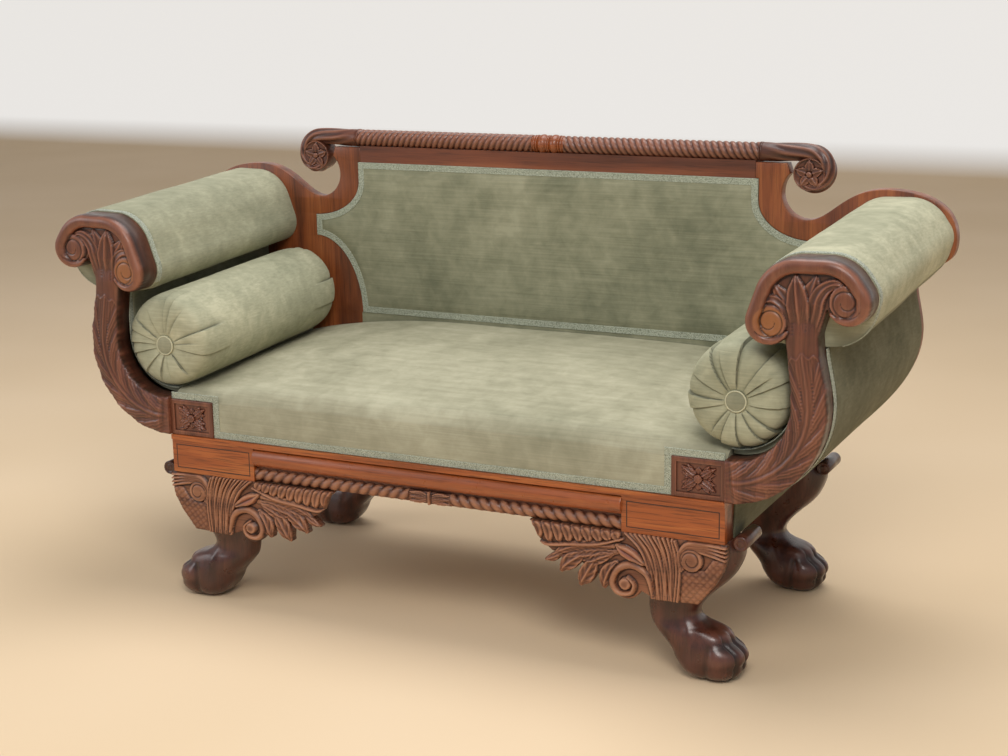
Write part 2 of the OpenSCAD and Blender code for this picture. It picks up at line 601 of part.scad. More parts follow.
// Inner face of the arm's upholstery: it cradles the bolster
cradle_r = 99;
cradle_rise = 188;   // height of the cradle's centre above the deck
cradle_shift = 1;
cradle_front = [inner_c[0] + cradle_shift, deck_z + cradle_rise];
cradle_n = 12;
pad_t = 14;
pad_lift_share = 0.85;   // share of the arm's rise that its lower parts follow
function inner_face(y, d) = let (m = arm_share(y),
        c = cradle_front + [arm_spread, arm_rise * pad_lift_share] * m,
        side = c + [cradle_r, 0],
        top = under_roll(side + [0, cradle_r], circles_at(y), cover_proud + fit + touch))
    ended(beside(concat(arc(c, cradle_r, -96, 0, cradle_n), [top]), d), y);
module inner_wall(d0, d1, y0, y1) strip_skin([for (y = [y0, y1])
    at_y(concat(inner_face(y, d0), back_to_front(inner_face(y, d1))), y)]);
module arm_inner_pad() color("darkolivegreen") placed() inner_wall(0, -pad_t, cover_y, arm_end);

// Outer face of the arm's upholstery: an S at the front, a longer sweep at the back
outer_t = 3;
rear_reach = 198;    // how far the back board swells beyond the seat
rear_swell = 205;    // height of that swelling above the deck
rear_neck = 184;     // the same reach under the roll
rear_out_x = post_x + rear_reach;
rear_out_z = deck_z + rear_swell;
rear_neck_x = post_x + rear_neck;
outer_n = 9;
outer_m = 6;
front_lean = 3;
front_top = under_roll([neck_out + front_lean, neck_z], circles_at(arm_y), cover_proud + fit + touch);
rear_top = under_roll([rear_neck_x, neck_z + arm_rise], circles_at(arm_end),
    cover_proud + fit + touch);
outer_front_path = concat(
    [[post_x, rail_z + fit]],
    arc(sweep_c, sweep_r, -90, 0, outer_n),
    tail(bez(sweep_c + [sweep_r, 0], sweep_c + [sweep_r, (front_top[1] - sweep_c[1]) / 3],
        front_top - [-front_lean, (front_top[1] - sweep_c[1]) / 3], front_top, outer_m)));
outer_rear_path = concat(
    bez([post_x + fit, rail_z + outer_t], [post_x + rear_reach * 0.4, deck_z + 2 * fillet_h],
        [rear_out_x, deck_z + rear_swell * 0.46], [rear_out_x, rear_out_z], outer_n + 1),
    tail(bez([rear_out_x, rear_out_z], [rear_out_x, (2 * rear_out_z + rear_top[1]) / 3],
        [rear_neck_x, (rear_out_z + 2 * rear_top[1]) / 3], rear_top, outer_m)));
function outer_at(y, d) = let (m = arm_share(y), f = beside(outer_front_path, d),
        r = beside(outer_rear_path, d))
    ended([for (i = [0:len(f) - 1]) f[i] * (1 - m) + r[i] * m], y);
outer_steps = 4;     // sections along its depth
module outer_wall(d0, d1, y0, y1) strip_skin([for (i = [0:outer_steps])
    let (y = y0 + (y1 - y0) * i / outer_steps)
    at_y(concat(outer_at(y, d0), back_to_front(outer_at(y, d1))), y)]);
module arm_outer_cover() color("darkolivegreen") placed()
    outer_wall(0, -outer_t, cover_y, arm_end);

// Hidden slats that join the arm front to the back board
slat_w = 24;
slat_h = 36;
upper_slat_reach = 127;
upper_slat_drop = 66;
upper_slat = [post_x + upper_slat_reach, neck_z - upper_slat_drop];
lower_slat_reach = 22;
lower_slat_rise = 34;
lower_slat = [post_x + lower_slat_reach, deck_z + lower_slat_rise];
lower_slat_w = 50;
lower_slat_h = 30;
module slat(low, w, h) {
    p = [low, low + [0, h], low + [w, h], low + [w, 0]];
    loft(p, moved(p, [arm_spread, arm_rise * 0.85]), arm_y, arm_end);
}
module arm_slats() color("burlywood") placed() {
    slat(upper_slat, slat_w, slat_h);
    slat(lower_slat, lower_slat_w, lower_slat_h);
}

gimp_t = 1.6;
trim_from_angle = 215;
trim_to_angle = -75;
function head_strip(grow) = round_hull(circles_at(arm_y), grow, trim_from_angle, trim_to_angle, 30);
function trim_path(d) = tail(outer_at(arm_y, d));
// A strip of braid between two paths, laid round the edge of the velvet
module braid(a, b) upright(arm_y, arm_y + gimp_w) polygon(concat(a, back_to_front(b)));
module gimp_arm() color("lightsteelblue") placed() {
    braid(head_strip(cover_proud), head_strip(cover_proud - gimp_t));
    braid(inner_face(arm_y, 0), inner_face(arm_y, -gimp_t));
    braid(trim_path(0), trim_path(-gimp_t));
}

// BACK
rim = 9;             // wood that shows round the far end of the arm's roll
dip_r = 51;          // radius of the hollow between crest and shoulder
dip_reach = 92;      // from the end of the straight crest rail to the hollow's centre
dip_drop = 77;       // from the crest rail's centre down to the hollow's
dip_c = [crest_half_w + dip_reach, crest_z - dip_drop];
shoulder_reach = 125;
shoulder_rise = 192; // rises count up from the arm scroll's lowest point
shoulder_x = block_half_w + shoulder_reach;
shoulder_z = head_z + shoulder_rise;
far_reach = 259;
far_rise = 103;
far_x = block_half_w + far_reach;
far_z = head_z + far_rise;
crest_lap = 2.5;     // how deep the crest rail sits in the board under it
crest_board_top = crest_z - twist_d / 2 + crest_lap;
ear_drop = 118;      // from the panel's upper edge down to the top of an ear's side
ear_top = panel_top - ear_drop;
upper_rz = 76;
collar_r = twist_d * 0.52;   // outer radius of the collar at an end of the twist
ear_n = 10;
// Right half of the upholstered panel's outline, from the bottom up
half_panel = concat(
    quarter([panel_half_w + ear_w, panel_z], ear_w, ear_top - ear_h - panel_z, 180, 90, ear_n),
    quarter([panel_half_w + ear_w, ear_top + upper_rz], ear_w, upper_rz, 270, 180, ear_n),
    [[panel_half_w, panel_top]]);
function mirror_x(p) = [for (i = [len(p) - 1:-1:0]) [-p[i][0], p[i][1]]];
function panel_outline(g) = grown(concat(half_panel, mirror_x(half_panel)), g);

// Lengths of the handles of the shoulder's three curves, from the dip outward
dip_pull = 46;
shoulder_in_pull = 82;
shoulder_out_pull = 78;
far_up_pull = 62;
far_down_pull = 40;
tip_in = 16;
tip_drop = 50;
tip_end = [6, 57];   // its end: past the rear neck, and below the farthest point
shoulder = concat(
    arc(dip_c, dip_r, 132, 270, 14),
    tail(bez(dip_c + [0, -dip_r], dip_c + [dip_pull, -dip_r],
        [shoulder_x - shoulder_in_pull, shoulder_z], [shoulder_x, shoulder_z], 8)),
    tail(bez([shoulder_x, shoulder_z], [shoulder_x + shoulder_out_pull, shoulder_z],
        [far_x, far_z + far_up_pull], [far_x, far_z], 8)),
    tail(bez([far_x, far_z], [far_x, far_z - far_down_pull], [far_x - tip_in, far_z - tip_drop],
        [rear_neck_x + tip_end[0], far_z - tip_end[1]], 6)));
board_outer = back_to_front(outer_rear_path);
module back_board() color("sienna") placed() difference() {
    upright(seat_depth, back_y) polygon(concat(
        [[stile_x, rail_z], [stile_x, panel_z], [seam_x, panel_z + overrun],
         [seam_x, crest_z - collar_r - touch], [dip_c[0] - dip_r * 0.8, crest_z - collar_r - touch]],
        shoulder, board_outer, [[post_x + fit, rail_z + fit]]));
    upright(seat_depth - overrun, back_y + overrun) polygon(panel_outline(touch));
}
module crest_board() color("brown") placed() difference() {
    block([-seam_x, seat_depth, panel_top + touch], [seam_x, back_y, crest_board_top]);
    translate([-seam_x - overrun, crest_y, crest_z]) rotate([0, 90, 0])
        cylinder(d = twist_d + touch, h = 2 * (seam_x + overrun), $fn = fine);
    translate([-centre_half_l - touch, crest_y, crest_z]) rotate([0, 90, 0])
        cylinder(d = twist_d * centre_widest + touch, h = 2 * (centre_half_l + touch), $fn = fine);
}
lower_rail_h = 66;
module back_lower_rail() color("darkolivegreen") placed()
    block([-stile_x, seat_depth, panel_z - touch - lower_rail_h],
          [stile_x, back_y, panel_z - touch]);

crest_y = seat_depth + board_t / 2;
collar_l = 7;
centre_half_l = 36;
twist_starts = 4;    // strands of the rope
twist_lead = 54;     // length in which a strand goes once round
twist_groove = 3.6;
twist_strand_shares = [0, 1, 1];   // how far a strand stands out, from groove to groove
twist_steps = 6;     // rings per turn
function twist_ring(x) = let (k = len(twist_strand_shares), m = twist_starts * k)
    [for (j = [0:m - 1]) let (a = 360 * (j / m + (x - centre_half_l) / twist_lead),
        r = twist_d / 2 - twist_groove * (1 - twist_strand_shares[j % k]))
     [x, crest_y + r * cos(a), crest_z + r * sin(a)]];
twist_l = crest_half_w - collar_l - centre_half_l;
module turned(x, profile) translate([x, crest_y, crest_z]) rotate([0, 90, 0])
    rotate_extrude($fn = fine) polygon(profile);
module crest_twist() color("saddlebrown") placed() {
    n = ceil(twist_l / twist_lead * twist_steps);
    skin([for (i = [0:n]) twist_ring(centre_half_l + (twist_l + sink) * i / n)]);
    turned(crest_half_w - collar_l, [[0, 0], [collar_r, 0], [collar_r, collar_l * 0.4],
        [collar_r * 0.87, collar_l * 0.5], [collar_r, collar_l * 0.6],
        [collar_r, collar_l * 0.8], [collar_r * 0.85, collar_l], [0, collar_l]]);
}
// Half of the turned centre, from its middle ring outward: radius and length shares
centre_widest = 1.09;
centre_shares = [[0.44, 0], [0.50, 0.02], [0.50, 0.08], [0.43, 0.11], [0.47, 0.17],
    [0.53, 0.27], [0.545, 0.38], [0.52, 0.49], [0.46, 0.58], [0.42, 0.62], [0.50, 0.66],
    [0.50, 0.72], [0.43, 0.76], [0.49, 0.81], [0.49, 0.88], [0.44, 0.93], [0.44, 1]];
module crest_centre() color("peru") placed() both()
    turned(0, concat([[0, 0]], [for (s = centre_shares) [twist_d * s[0], centre_half_l * s[1]]],
        [[0, centre_half_l]]));

eye_reach = 97;
eye_drop = 39;
eye_c = [crest_half_w + eye_reach, crest_z - eye_drop];
scroll_t = 44;       // depth of the crest's scrolled ends
eye_r = 34;
scroll_ring_n = 12;
scroll_run = 68;     // length of its straight start, with the rise and swelling there
scroll_lift = 1;
scroll_swell = 3.5;
coil_r = 41;         // radius of the coil's middle line, and how far it comes in
coil_in = 17;
coil_t = 18;         // half thickness of the coil, and how much it thins
coil_thin = 9;
eye_petal_h = 3;
// Path of the scroll: place, facing angle, half thickness and half depth
scroll_rows = concat(
    [for (t = [0, 0.35, 0.7]) [crest_half_w + scroll_run * t, crest_z + scroll_lift * t, 90,
        twist_d / 2 * (1 - 0.02 * t), twist_d / 2 + scroll_swell * t]],
    [for (i = [0:9]) let (a = 100 - 26 * i, t = i / 9)
        [eye_c[0] + (coil_r - coil_in * t) * cos(a), eye_c[1] + (coil_r - coil_in * t) * sin(a), a,
         coil_t - coil_thin * t, scroll_t / 2]]);
function scroll_ring(r) = [for (i = [0:scroll_ring_n - 1]) let (a = -360 * i / scroll_ring_n,
        u = r[3] * cos(a), v = r[4] * sin(a))
    [r[0] + u * cos(r[2]), crest_y + v, r[1] + u * sin(r[2])]];
module crest_scroll() color("saddlebrown") placed() {
    skin([for (r = scroll_rows) scroll_ring(r)]);
    upright(crest_y - scroll_t / 2 + sink, crest_y + scroll_t / 2 - sink) translate(eye_c)
        circle(r = eye_r * 0.9, $fn = 32);
    rosette(eye_c[0], crest_y - scroll_t / 2 + sink, eye_c[1], eye_r * 0.68, eye_r * 0.42,
            eye_petal_h, [18, 90, 162, 234, 306], small_boss_r);
}

back_web_w = 55;
back_web_n = 7;
back_sheet_t = 1.4;
web_lap = 22;        // how far a strap laps past the panel: sideways, down and up
web_lap_low = 40;
web_lap_high = 25;
module back_webbing() color("wheat") placed() {
    step = 2 * panel_half_w / back_web_n;
    for (i = [0:back_web_n - 1]) {
        x = -panel_half_w + step * (i + 0.5);
        block([x - back_web_w / 2, back_y + touch, panel_z - web_lap_low],
              [x + back_web_w / 2, back_y + touch + web_t, panel_top + web_lap_high]);
    }
    for (k = [0.28, 0.55, 0.82]) {
        z = panel_z + (panel_top - panel_z) * k;
        block([-panel_half_w - web_lap, back_y + 2 * touch + web_t, z - back_web_w / 2],
              [panel_half_w + web_lap, back_y + 2 * touch + 2 * web_t, z + back_web_w / 2]);
    }
}
cover_margin = 20;
cover_raise = 4;     // from the back rail's underside to the cloth's lower edge
module back_outer_cover() color("gray") placed() {
    y = back_y + 3 * touch + 2 * web_t;
    upright(y, y + back_sheet_t) {
        polygon(panel_outline(cover_margin));
        translate([-panel_half_w - cover_margin, rail_z + cover_raise])
            square([2 * (panel_half_w + cover_margin), panel_z - rail_z]);
    }
}

pad_proud = 7;       // how far the panel's padding stands out of the frame
pad_step = 2;        // depth of its rounded edge, and its width
pad_edge = 3;
pad_front = seat_depth - pad_proud;
module back_pad() color("darkseagreen") placed() {
    upright(seat_depth - touch, back_y) polygon(panel_outline(0));
    upright(pad_front + pad_step, seat_depth + sink) polygon(panel_outline(-gimp_w - touch));
    upright(pad_front, seat_depth + sink) polygon(panel_outline(-gimp_w - pad_edge));
}
module gimp_back() color("lightsteelblue") placed() difference() {
    upright(seat_depth - 2 * touch - gimp_t, seat_depth - 2 * touch)
        polygon(panel_outline(0));
    upright(seat_depth - gimp_t - overrun, seat_depth + overrun)
        polygon(panel_outline(-gimp_w));
}

// SEAT
seat_gap = 2;        // clearance of the seat's padding at its sides and back
seat_half_w = post_x - seat_gap;
seat_front = 5;
seat_back = seat_depth - seat_gap;
web_w = 60;
web_end_in = 40;     // from the end rail to the middle of the last strap
web_side_in = 60;    // and the same at the front and the back
sheet_lap = 24;      // how far the hessian laps onto the end rails
tack_l = 18;         // how far a webbing strap laps onto the rail it is tacked to
web_across_n = 4;
web_along_n = 9;
module seat_webbing() color("wheat") placed() {
    for (i = [0:web_along_n - 1]) {
        x = (end_rail_x - web_end_in) * (2 * i / (web_along_n - 1) - 1);
        over_rail = abs(x) + web_w / 2 < stile_x;
        block([x - web_w / 2, fillet_back + 2 * fit, ledge_top + touch],
              [x + web_w / 2, seat_depth + (over_rail ? tack_l : -touch), ledge_top + touch + web_t]);
    }
    for (i = [0:web_across_n - 1]) {
        y = rail_back + web_side_in
            + (seat_depth - rail_back - 2 * web_side_in) * i / (web_across_n - 1);
        block([-end_rail_x - sheet_lap, y - web_w / 2, ledge_top + 2 * touch + web_t],
              [end_rail_x + sheet_lap, y + web_w / 2, ledge_top + 2 * touch + 2 * web_t]);
    }
}
module seat_hessian() color("tan") placed() difference() {
    block([-end_rail_x - sheet_lap, fillet_back + 2 * fit, ledge_top + 3 * touch + 2 * web_t],
          [end_rail_x + sheet_lap, seat_back, deck_z]);
    both() block([block_half_w - block_w - fit, -overrun, ledge_top],
          [block_half_w + overrun, block_t + fit, block_top]);
}
// Height of the seat's surface: edge height that rises with the arms, plus the crown
seat_edge_h = 87;
seat_edge_z = deck_z + seat_edge_h;
crown_run = 250;     // depth over which the crown grows to its full height
seat_nx = 20;
seat_ny = 10;
front_roll = 34;     // depth over which the seat rounds off at the front
function seat_edge(y) = seat_edge_z + arm_rise * 0.85 * max(0, arm_share(y));
function seat_top(x, y) = let (u = x / seat_half_w, v = min(1, (y - seat_front) / front_roll))
    seat_edge(y) + crown_h * (1 - u * u * u * u) * (0.35 + 0.65 * min(1, (y - seat_front) / crown_run))
    - front_roll * 0.75 * pow(1 - v, 2.2);
seat_y_shares = [0, 0.012, 0.03, 0.065, 0.14, 0.28, 0.45, 0.64, 0.83, 1];
function seat_row(y) = concat(
    [for (i = [0:seat_nx]) let (x = seat_half_w * (2 * i / seat_nx - 1)) [x, y, seat_top(x, y)]],
    [[seat_half_w, y, deck_z + touch], [-seat_half_w, y, deck_z + touch]]);
module seat_pad() color("darkseagreen") placed() difference() {
    skin([for (s = seat_y_shares) seat_row(seat_front + (seat_back - seat_front) * s)]);
    both() block([block_half_w - block_w - touch, -overrun, deck_z - overrun],
        [block_half_w + overrun, block_t + touch, block_top + touch]);
}
seat_trim_x = block_half_w - block_w;
module gimp_seat() color("lightsteelblue") placed() difference() {
    upright(seat_front - touch - gimp_t, seat_front - touch) polygon([
        [-seat_half_w, block_top + touch], [-seat_half_w, block_top + gimp_w],
        [-seat_trim_x + gimp_w, block_top + gimp_w], [-seat_trim_x + gimp_w, deck_z + gimp_w],
        [seat_trim_x - gimp_w, deck_z + gimp_w], [seat_trim_x - gimp_w, block_top + gimp_w],
        [seat_half_w, block_top + gimp_w], [seat_half_w, block_top + touch],
        [seat_trim_x - touch, block_top + touch], [seat_trim_x - touch, deck_z + touch],
        [-seat_trim_x + touch, deck_z + touch], [-seat_trim_x + touch, block_top + touch]]);
}

// BOLSTERS
bolster_r = bolster_d / 2;
bolster_front = 6;
bolster_l = seat_depth - bolster_gap - bolster_front;
rest_angle = -60;    // direction in which the bolster lies against the arm
bolster_c = cradle_front + (cradle_r - bolster_r - fit) * [cos(rest_angle), sin(rest_angle)];
bolster_slope = [arm_spread, arm_rise * 0.85] / (arm_end - arm_y);
button_r = 15;
button_t = 9;
pleat_points = 2 * pleats;
// Rings from an end to the middle: depth in mm shares of the radius, radius share, pleat depth
end_shares = [[0.10, 0.13, 0], [0.02, 0.34, 0.02], [0, 0.62, 0.035], [0.05, 0.82, 0.03],
    [0.16, 0.94, 0.018], [0.36, 0.99, 0.005]];
function bolster_ring(y, share, pleat) = let (c = bolster_c + bolster_slope * (y - arm_y))
    [for (i = [0:pleat_points - 1]) let (a = -360 * i / pleat_points,
        r = bolster_r * (share - (i % 2) * pleat))
     [c[0] + r * cos(a), y, c[1] + r * sin(a)]];
module bolster() color("darkseagreen") placed() skin(concat(
    [for (s = end_shares) bolster_ring(bolster_front + bolster_r * s[0], s[1], s[2])],
    [bolster_ring(bolster_front + bolster_l / 2, 1, 0)],
    [for (i = [len(end_shares) - 1:-1:0]) let (s = end_shares[i])
        bolster_ring(bolster_front + bolster_l - bolster_r * s[0], s[1], s[2])]));
module button(y) {
    c = bolster_c + bolster_slope * (y - arm_y);
    translate([c[0], y, c[1]]) rotate([90, 0, 0]) rotate_extrude($fn = fine)
        polygon([[0, 0], [button_r * 0.8, 0], [button_r, button_t * 0.35],
            [button_r * 0.9, button_t * 0.7], [button_r * 0.5, button_t * 0.95], [0, button_t]]);
}
module bolster_buttons() color("darkseagreen") placed() {
    button(bolster_front + bolster_r * end_shares[0][0] - touch);
    rear = bolster_front + bolster_l - bolster_r * end_shares[0][0] + touch;
    translate([0, 2 * rear, 0]) mirror([0, 1, 0]) button(rear);
}

front_rail();
back_rail();
mirrored() end_rail();  // end_rail_left
end_rail();  // end_rail_right
seat_stretchers();
corner_blocks();
corner_block_screws();
mirrored() rail_panel();  // rail_panel_left
rail_panel();  // rail_panel_right
string_inlay();
rail_fillet();
half_round_moulding();
mirrored() rope_moulding();  // rope_moulding_left
rope_moulding();  // rope_moulding_right
rope_centre_leaf();
mirrored() rosette_block();  // rosette_block_left
rosette_block();  // rosette_block_right
mirrored() leg(leg_inset);  // leg_front_left
leg(leg_inset);  // leg_front_right
mirrored() leg(leg_rear_y);  // leg_rear_left
leg(leg_rear_y);  // leg_rear_right
mirrored() bracket();  // bracket_left
bracket();  // bracket_right
mirrored() arm_front();  // arm_front_left
arm_front();  // arm_front_right
mirrored() arm_roll_core();  // arm_roll_core_left
arm_roll_core();  // arm_roll_core_right
mirrored() arm_roll_cover();  // arm_roll_cover_left
arm_roll_cover();  // arm_roll_cover_right
mirrored() arm_inner_pad();  // arm_inner_pad_left
arm_inner_pad();  // arm_inner_pad_right
mirrored() arm_outer_cover();  // arm_outer_cover_left
arm_outer_cover();  // arm_outer_cover_right
mirrored() arm_slats();  // arm_slats_left
arm_slats();  // arm_slats_right
mirrored() back_board();  // back_board_left
back_board();  // back_board_right
crest_board();
mirrored() crest_twist();  // crest_twist_left
crest_twist();  // crest_twist_right
crest_centre();
mirrored() crest_scroll();  // crest_scroll_left
crest_scroll();  // crest_scroll_right
back_lower_rail();
back_webbing();
back_pad();
back_outer_cover();
seat_webbing();
seat_hessian();
seat_pad();
gimp_seat();
mirrored() gimp_arm();  // gimp_arm_left
gimp_arm();  // gimp_arm_right
gimp_back();
mirrored() bolster();  // bolster_left
bolster();  // bolster_right
mirrored() bolster_buttons();  // bolster_buttons_left
bolster_buttons();  // bolster_buttons_right
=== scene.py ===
"""Settee with scrolled arms: its looks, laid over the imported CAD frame.

The helpers count in millimetres as the CAD does: x across, y back from the front of the
seat rail, z up from the floor. Pieces are made for the right-hand half and mirrored.
"""

import math

import bpy
import bmesh
import numpy as np
from mathutils import Matrix, Vector
from mathutils.geometry import tessellate_polygon


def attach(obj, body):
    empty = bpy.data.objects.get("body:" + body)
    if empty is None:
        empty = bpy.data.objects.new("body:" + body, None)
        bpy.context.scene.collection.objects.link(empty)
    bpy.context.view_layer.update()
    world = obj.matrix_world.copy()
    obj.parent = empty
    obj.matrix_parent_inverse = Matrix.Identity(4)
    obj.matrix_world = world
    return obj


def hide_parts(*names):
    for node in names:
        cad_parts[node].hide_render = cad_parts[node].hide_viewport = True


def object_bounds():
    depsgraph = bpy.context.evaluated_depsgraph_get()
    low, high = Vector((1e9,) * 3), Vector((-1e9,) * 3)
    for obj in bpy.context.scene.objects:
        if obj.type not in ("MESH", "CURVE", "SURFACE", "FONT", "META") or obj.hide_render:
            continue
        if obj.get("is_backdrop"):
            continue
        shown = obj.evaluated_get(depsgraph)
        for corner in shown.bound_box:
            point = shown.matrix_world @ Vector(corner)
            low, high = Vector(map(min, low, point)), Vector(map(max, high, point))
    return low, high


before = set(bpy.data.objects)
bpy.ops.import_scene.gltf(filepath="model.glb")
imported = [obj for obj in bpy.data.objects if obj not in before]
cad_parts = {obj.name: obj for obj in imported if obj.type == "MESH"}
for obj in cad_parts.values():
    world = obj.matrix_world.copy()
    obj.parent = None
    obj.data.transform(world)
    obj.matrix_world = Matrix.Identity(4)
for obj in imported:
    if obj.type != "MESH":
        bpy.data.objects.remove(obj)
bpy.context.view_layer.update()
MIDDLE_Y = 290.0        # the CAD's y that lies in the frame's middle


# ---------------------------------------------------------------- camera
CAMERA_TURN = (26.4729, 13.4689, -1.01425)      # azimuth, elevation and roll in degrees
CAMERA_AT, CAMERA_LENS = (1.5370, -3.0519, 1.2633), 63.32


def make_camera():
    """The camera solved from the photograph's mirror pairs of points."""
    az, el, roll = (math.radians(a) for a in CAMERA_TURN)
    right = Vector((math.cos(az), math.sin(az), 0))
    ahead = Vector((-math.sin(az) * math.cos(el), math.cos(az) * math.cos(el), -math.sin(el)))
    up = right.cross(ahead)
    across = right * math.cos(roll) + up * math.sin(roll)
    upward = up * math.cos(roll) - right * math.sin(roll)
    cam = bpy.data.objects.new("camera", bpy.data.cameras.new("camera"))
    bpy.context.scene.collection.objects.link(cam)
    cam.matrix_world = Matrix.Translation(CAMERA_AT) @ Matrix(
        (across, upward, -ahead)).transposed().to_4x4()
    cam.data.lens, cam.data.sensor_width = CAMERA_LENS, 36.0
    cam.data.clip_end = 60
    bpy.context.scene.camera = cam


make_camera()
scene = bpy.context.scene
scene.view_settings.view_transform = "Standard"


# ---------------------------------------------------------------- materials
class Nodes:
    """A material with a Principled shader and short calls that add nodes."""

    def __init__(self, name):
        self.mat = bpy.data.materials.new(name)
        self.mat.use_nodes = True
        self.tree = self.mat.node_tree
        self.tree.nodes.clear()
        self.out = self.add("ShaderNodeOutputMaterial")
        self.shader = self.add("ShaderNodeBsdfPrincipled")
        self.link(self.shader.outputs[0], self.out.inputs[0])
        self.where = self.add("ShaderNodeTexCoord").outputs["Object"]

    def add(self, kind, **values):
        n = self.tree.nodes.new(kind)
        for k, v in values.items():
            setattr(n, k, v)
        return n

    def link(self, a, b):
        self.tree.links.new(a, b)

    def stretched(self, *scale):
        m = self.add("ShaderNodeMapping")
        m.inputs["Scale"].default_value = scale
        self.link(self.where, m.inputs["Vector"])
        return m.outputs[0]

    def noise(self, scale, detail=4.0, rough=0.55, distort=0.0, at=None):
        n = self.add("ShaderNodeTexNoise")
        n.inputs["Scale"].default_value = scale
        n.inputs["Detail"].default_value = detail
        n.inputs["Roughness"].default_value = rough
        n.inputs["Distortion"].default_value = distort
        self.link(at or self.where, n.inputs["Vector"])
        return n.outputs["Fac"]

    def ramp(self, value, *stops):
        r = self.add("ShaderNodeValToRGB")
        e = r.color_ramp.elements
        while len(e) < len(stops):
            e.new(0.5)
        for i, (p, c) in enumerate(stops):
            e[i].position = p
            e[i].color = (*c, 1) if hasattr(c, "__len__") else (c, c, c, 1)
        self.link(value, r.inputs[0])
        return r.outputs[0]

    def feed(self, socket, value):
        """Links an output to a socket, or sets the socket to a colour or a number."""
        if hasattr(value, "links"):
            self.link(value, socket)
        else:
            socket.default_value = (*value, 1) if hasattr(value, "__len__") else value

    def mix(self, kind, share, a, b):
        m = self.add("ShaderNodeMix", data_type="RGBA", blend_type=kind)
        for i, v in ((0, share), (6, a), (7, b)):
            self.feed(m.inputs[i], v)
        return m.outputs[2]

    def math(self, kind, *values, clamp=False):
        m = self.add("ShaderNodeMath", operation=kind, use_clamp=clamp)
        for socket, v in zip(m.inputs, values):
            self.feed(socket, v)
        return m.outputs[0]

    def total(self, *terms):
        """The sum of outputs, each times its share."""
        parts = [self.math("MULTIPLY", value, share) for value, share in terms]
        out = parts[0]
        for part in parts[1:]:
            out = self.math("ADD", out, part)
        return out

    def cloud(self, scale, detail, low, high):
        """A soft mottle between two tones or numbers."""
        return self.ramp(self.noise(scale, detail), (0.3, low), (0.7, high))

    def colour(self, value):
        self.link(value, self.shader.inputs["Base Color"])

    def rough(self, value):
        self.link(value, self.shader.inputs["Roughness"])

    def attribute(self, name):
        return self.add("ShaderNodeAttribute", attribute_name=name).outputs["Fac"]

    def bump(self, height, strength, distance):
        b = self.add("ShaderNodeBump")
        b.inputs["Strength"].default_value = strength
        b.inputs["Distance"].default_value = distance
        self.link(height, b.inputs["Height"])
        if self.shader.inputs["Normal"].links:
            self.link(self.shader.inputs["Normal"].links[0].from_socket, b.inputs["Normal"])
        self.link(b.outputs[0], self.shader.inputs["Normal"])

    def set(self, **values):
        for k, v in values.items():
            self.shader.inputs[k.replace("_", " ")].default_value = v

    def coat(self, weight, rough):
        self.shader.inputs["Coat Weight"].default_value = weight
        self.shader.inputs["Coat Roughness"].default_value = rough


def srgb(r, g, b):
    """A colour given in the 0 to 255 numbers of a picture, as Blender's linear one."""
    return tuple((c / 255 / 12.92) if c <= 10 else ((c / 255 + 0.055) / 1.055) ** 2.4
                 for c in (r, g, b))


def wood(name, dark, mid, light, axis, rough=0.42, coat=0.25, figure=1.0, wear=0.5, recess=0.75,
         tint=None, pored=0.45):
    """Old polished mahogany: pores and figure along one axis, dirt in recesses, worn ridges."""
    m = Nodes(name)
    grain, pores = ([long if i == axis else fine for i in range(3)]
                    for long, fine in ((1.6, 26.0), (14.0, 420.0)))
    figure_tone = m.noise(figure, 7, 0.6, 0.9, m.stretched(*grain))
    cloud = m.noise(3.2, 3, 0.5)
    base = m.ramp(figure_tone, (0.30, dark), (0.52, mid), (0.74, light))
    base = m.mix("MULTIPLY", 0.55, base, m.ramp(cloud, (0.30, 0.62), (0.70, 1.0)))
    pore = m.noise(1.0, 2, 0.5, 0.0, m.stretched(*pores))
    pore_mask = m.ramp(pore, (0.36, 0.0), (0.46, 1.0))
    base = m.mix("MULTIPLY", pored, base, m.ramp(pore, (0.34, 0.30), (0.47, 1.0)))
    if tint:
        base = m.mix("MIX", m.attribute("tint"), base, tint)
    cav = m.attribute("cav")
    low = m.math("MULTIPLY", cav, -recess, clamp=True)
    high = m.math("MULTIPLY", cav, wear, clamp=True)
    base = m.mix("MIX", low, base, tuple(c * 0.28 for c in dark))
    base = m.mix("MIX", high, base, tuple(min(1.0, c * 1.25 + 0.02) for c in light))
    m.colour(base)
    m.rough(m.cloud(40, 3, rough - 0.08, rough + 0.12))
    m.bump(pore_mask, 0.12, 0.0004)
    m.bump(figure_tone, 0.06, 0.0006)
    m.bump(m.noise(60, 4), 0.10, 0.0012)
    m.coat(coat, 0.22)
    return m.mat


def velvet(name, dark, mid, light, sheen=0.35):
    """Cotton velvet: nap pushed in faint patches, a fine pile and the warp's lines."""
    m = Nodes(name)
    patches = m.noise(4.4, 4, 0.55, 0.5)
    crush = m.noise(30, 4, 0.6, 0.4)
    lines = m.noise(1.0, 3, 0.6, 0.0, m.stretched(6.0, 60.0, 320.0))
    tone = m.total((patches, 0.48), (crush, 0.30), (lines, 0.22))
    base = m.ramp(tone, (0.36, dark), (0.50, mid), (0.64, light))
    # Point attributes paint light into the colour: one darkens it as painted shade, the other
    # lightens it as painted highlight.
    base = m.mix("MIX", m.attribute("soil"), base, tuple(c * 0.32 for c in dark))
    base = m.mix("MIX", m.attribute("pale"), base, tuple(min(1.0, c * 1.12) for c in light))
    m.colour(base)
    m.set(Roughness=0.94, Specular_IOR_Level=0.15, Sheen_Weight=sheen, Sheen_Roughness=0.45)
    m.shader.inputs["Sheen Tint"].default_value = (*light, 1)
    m.bump(m.noise(900, 2), 0.20, 0.0006)
    m.bump(lines, 0.14, 0.0008)
    m.bump(m.noise(22, 3), 0.12, 0.003)
    return m.mat


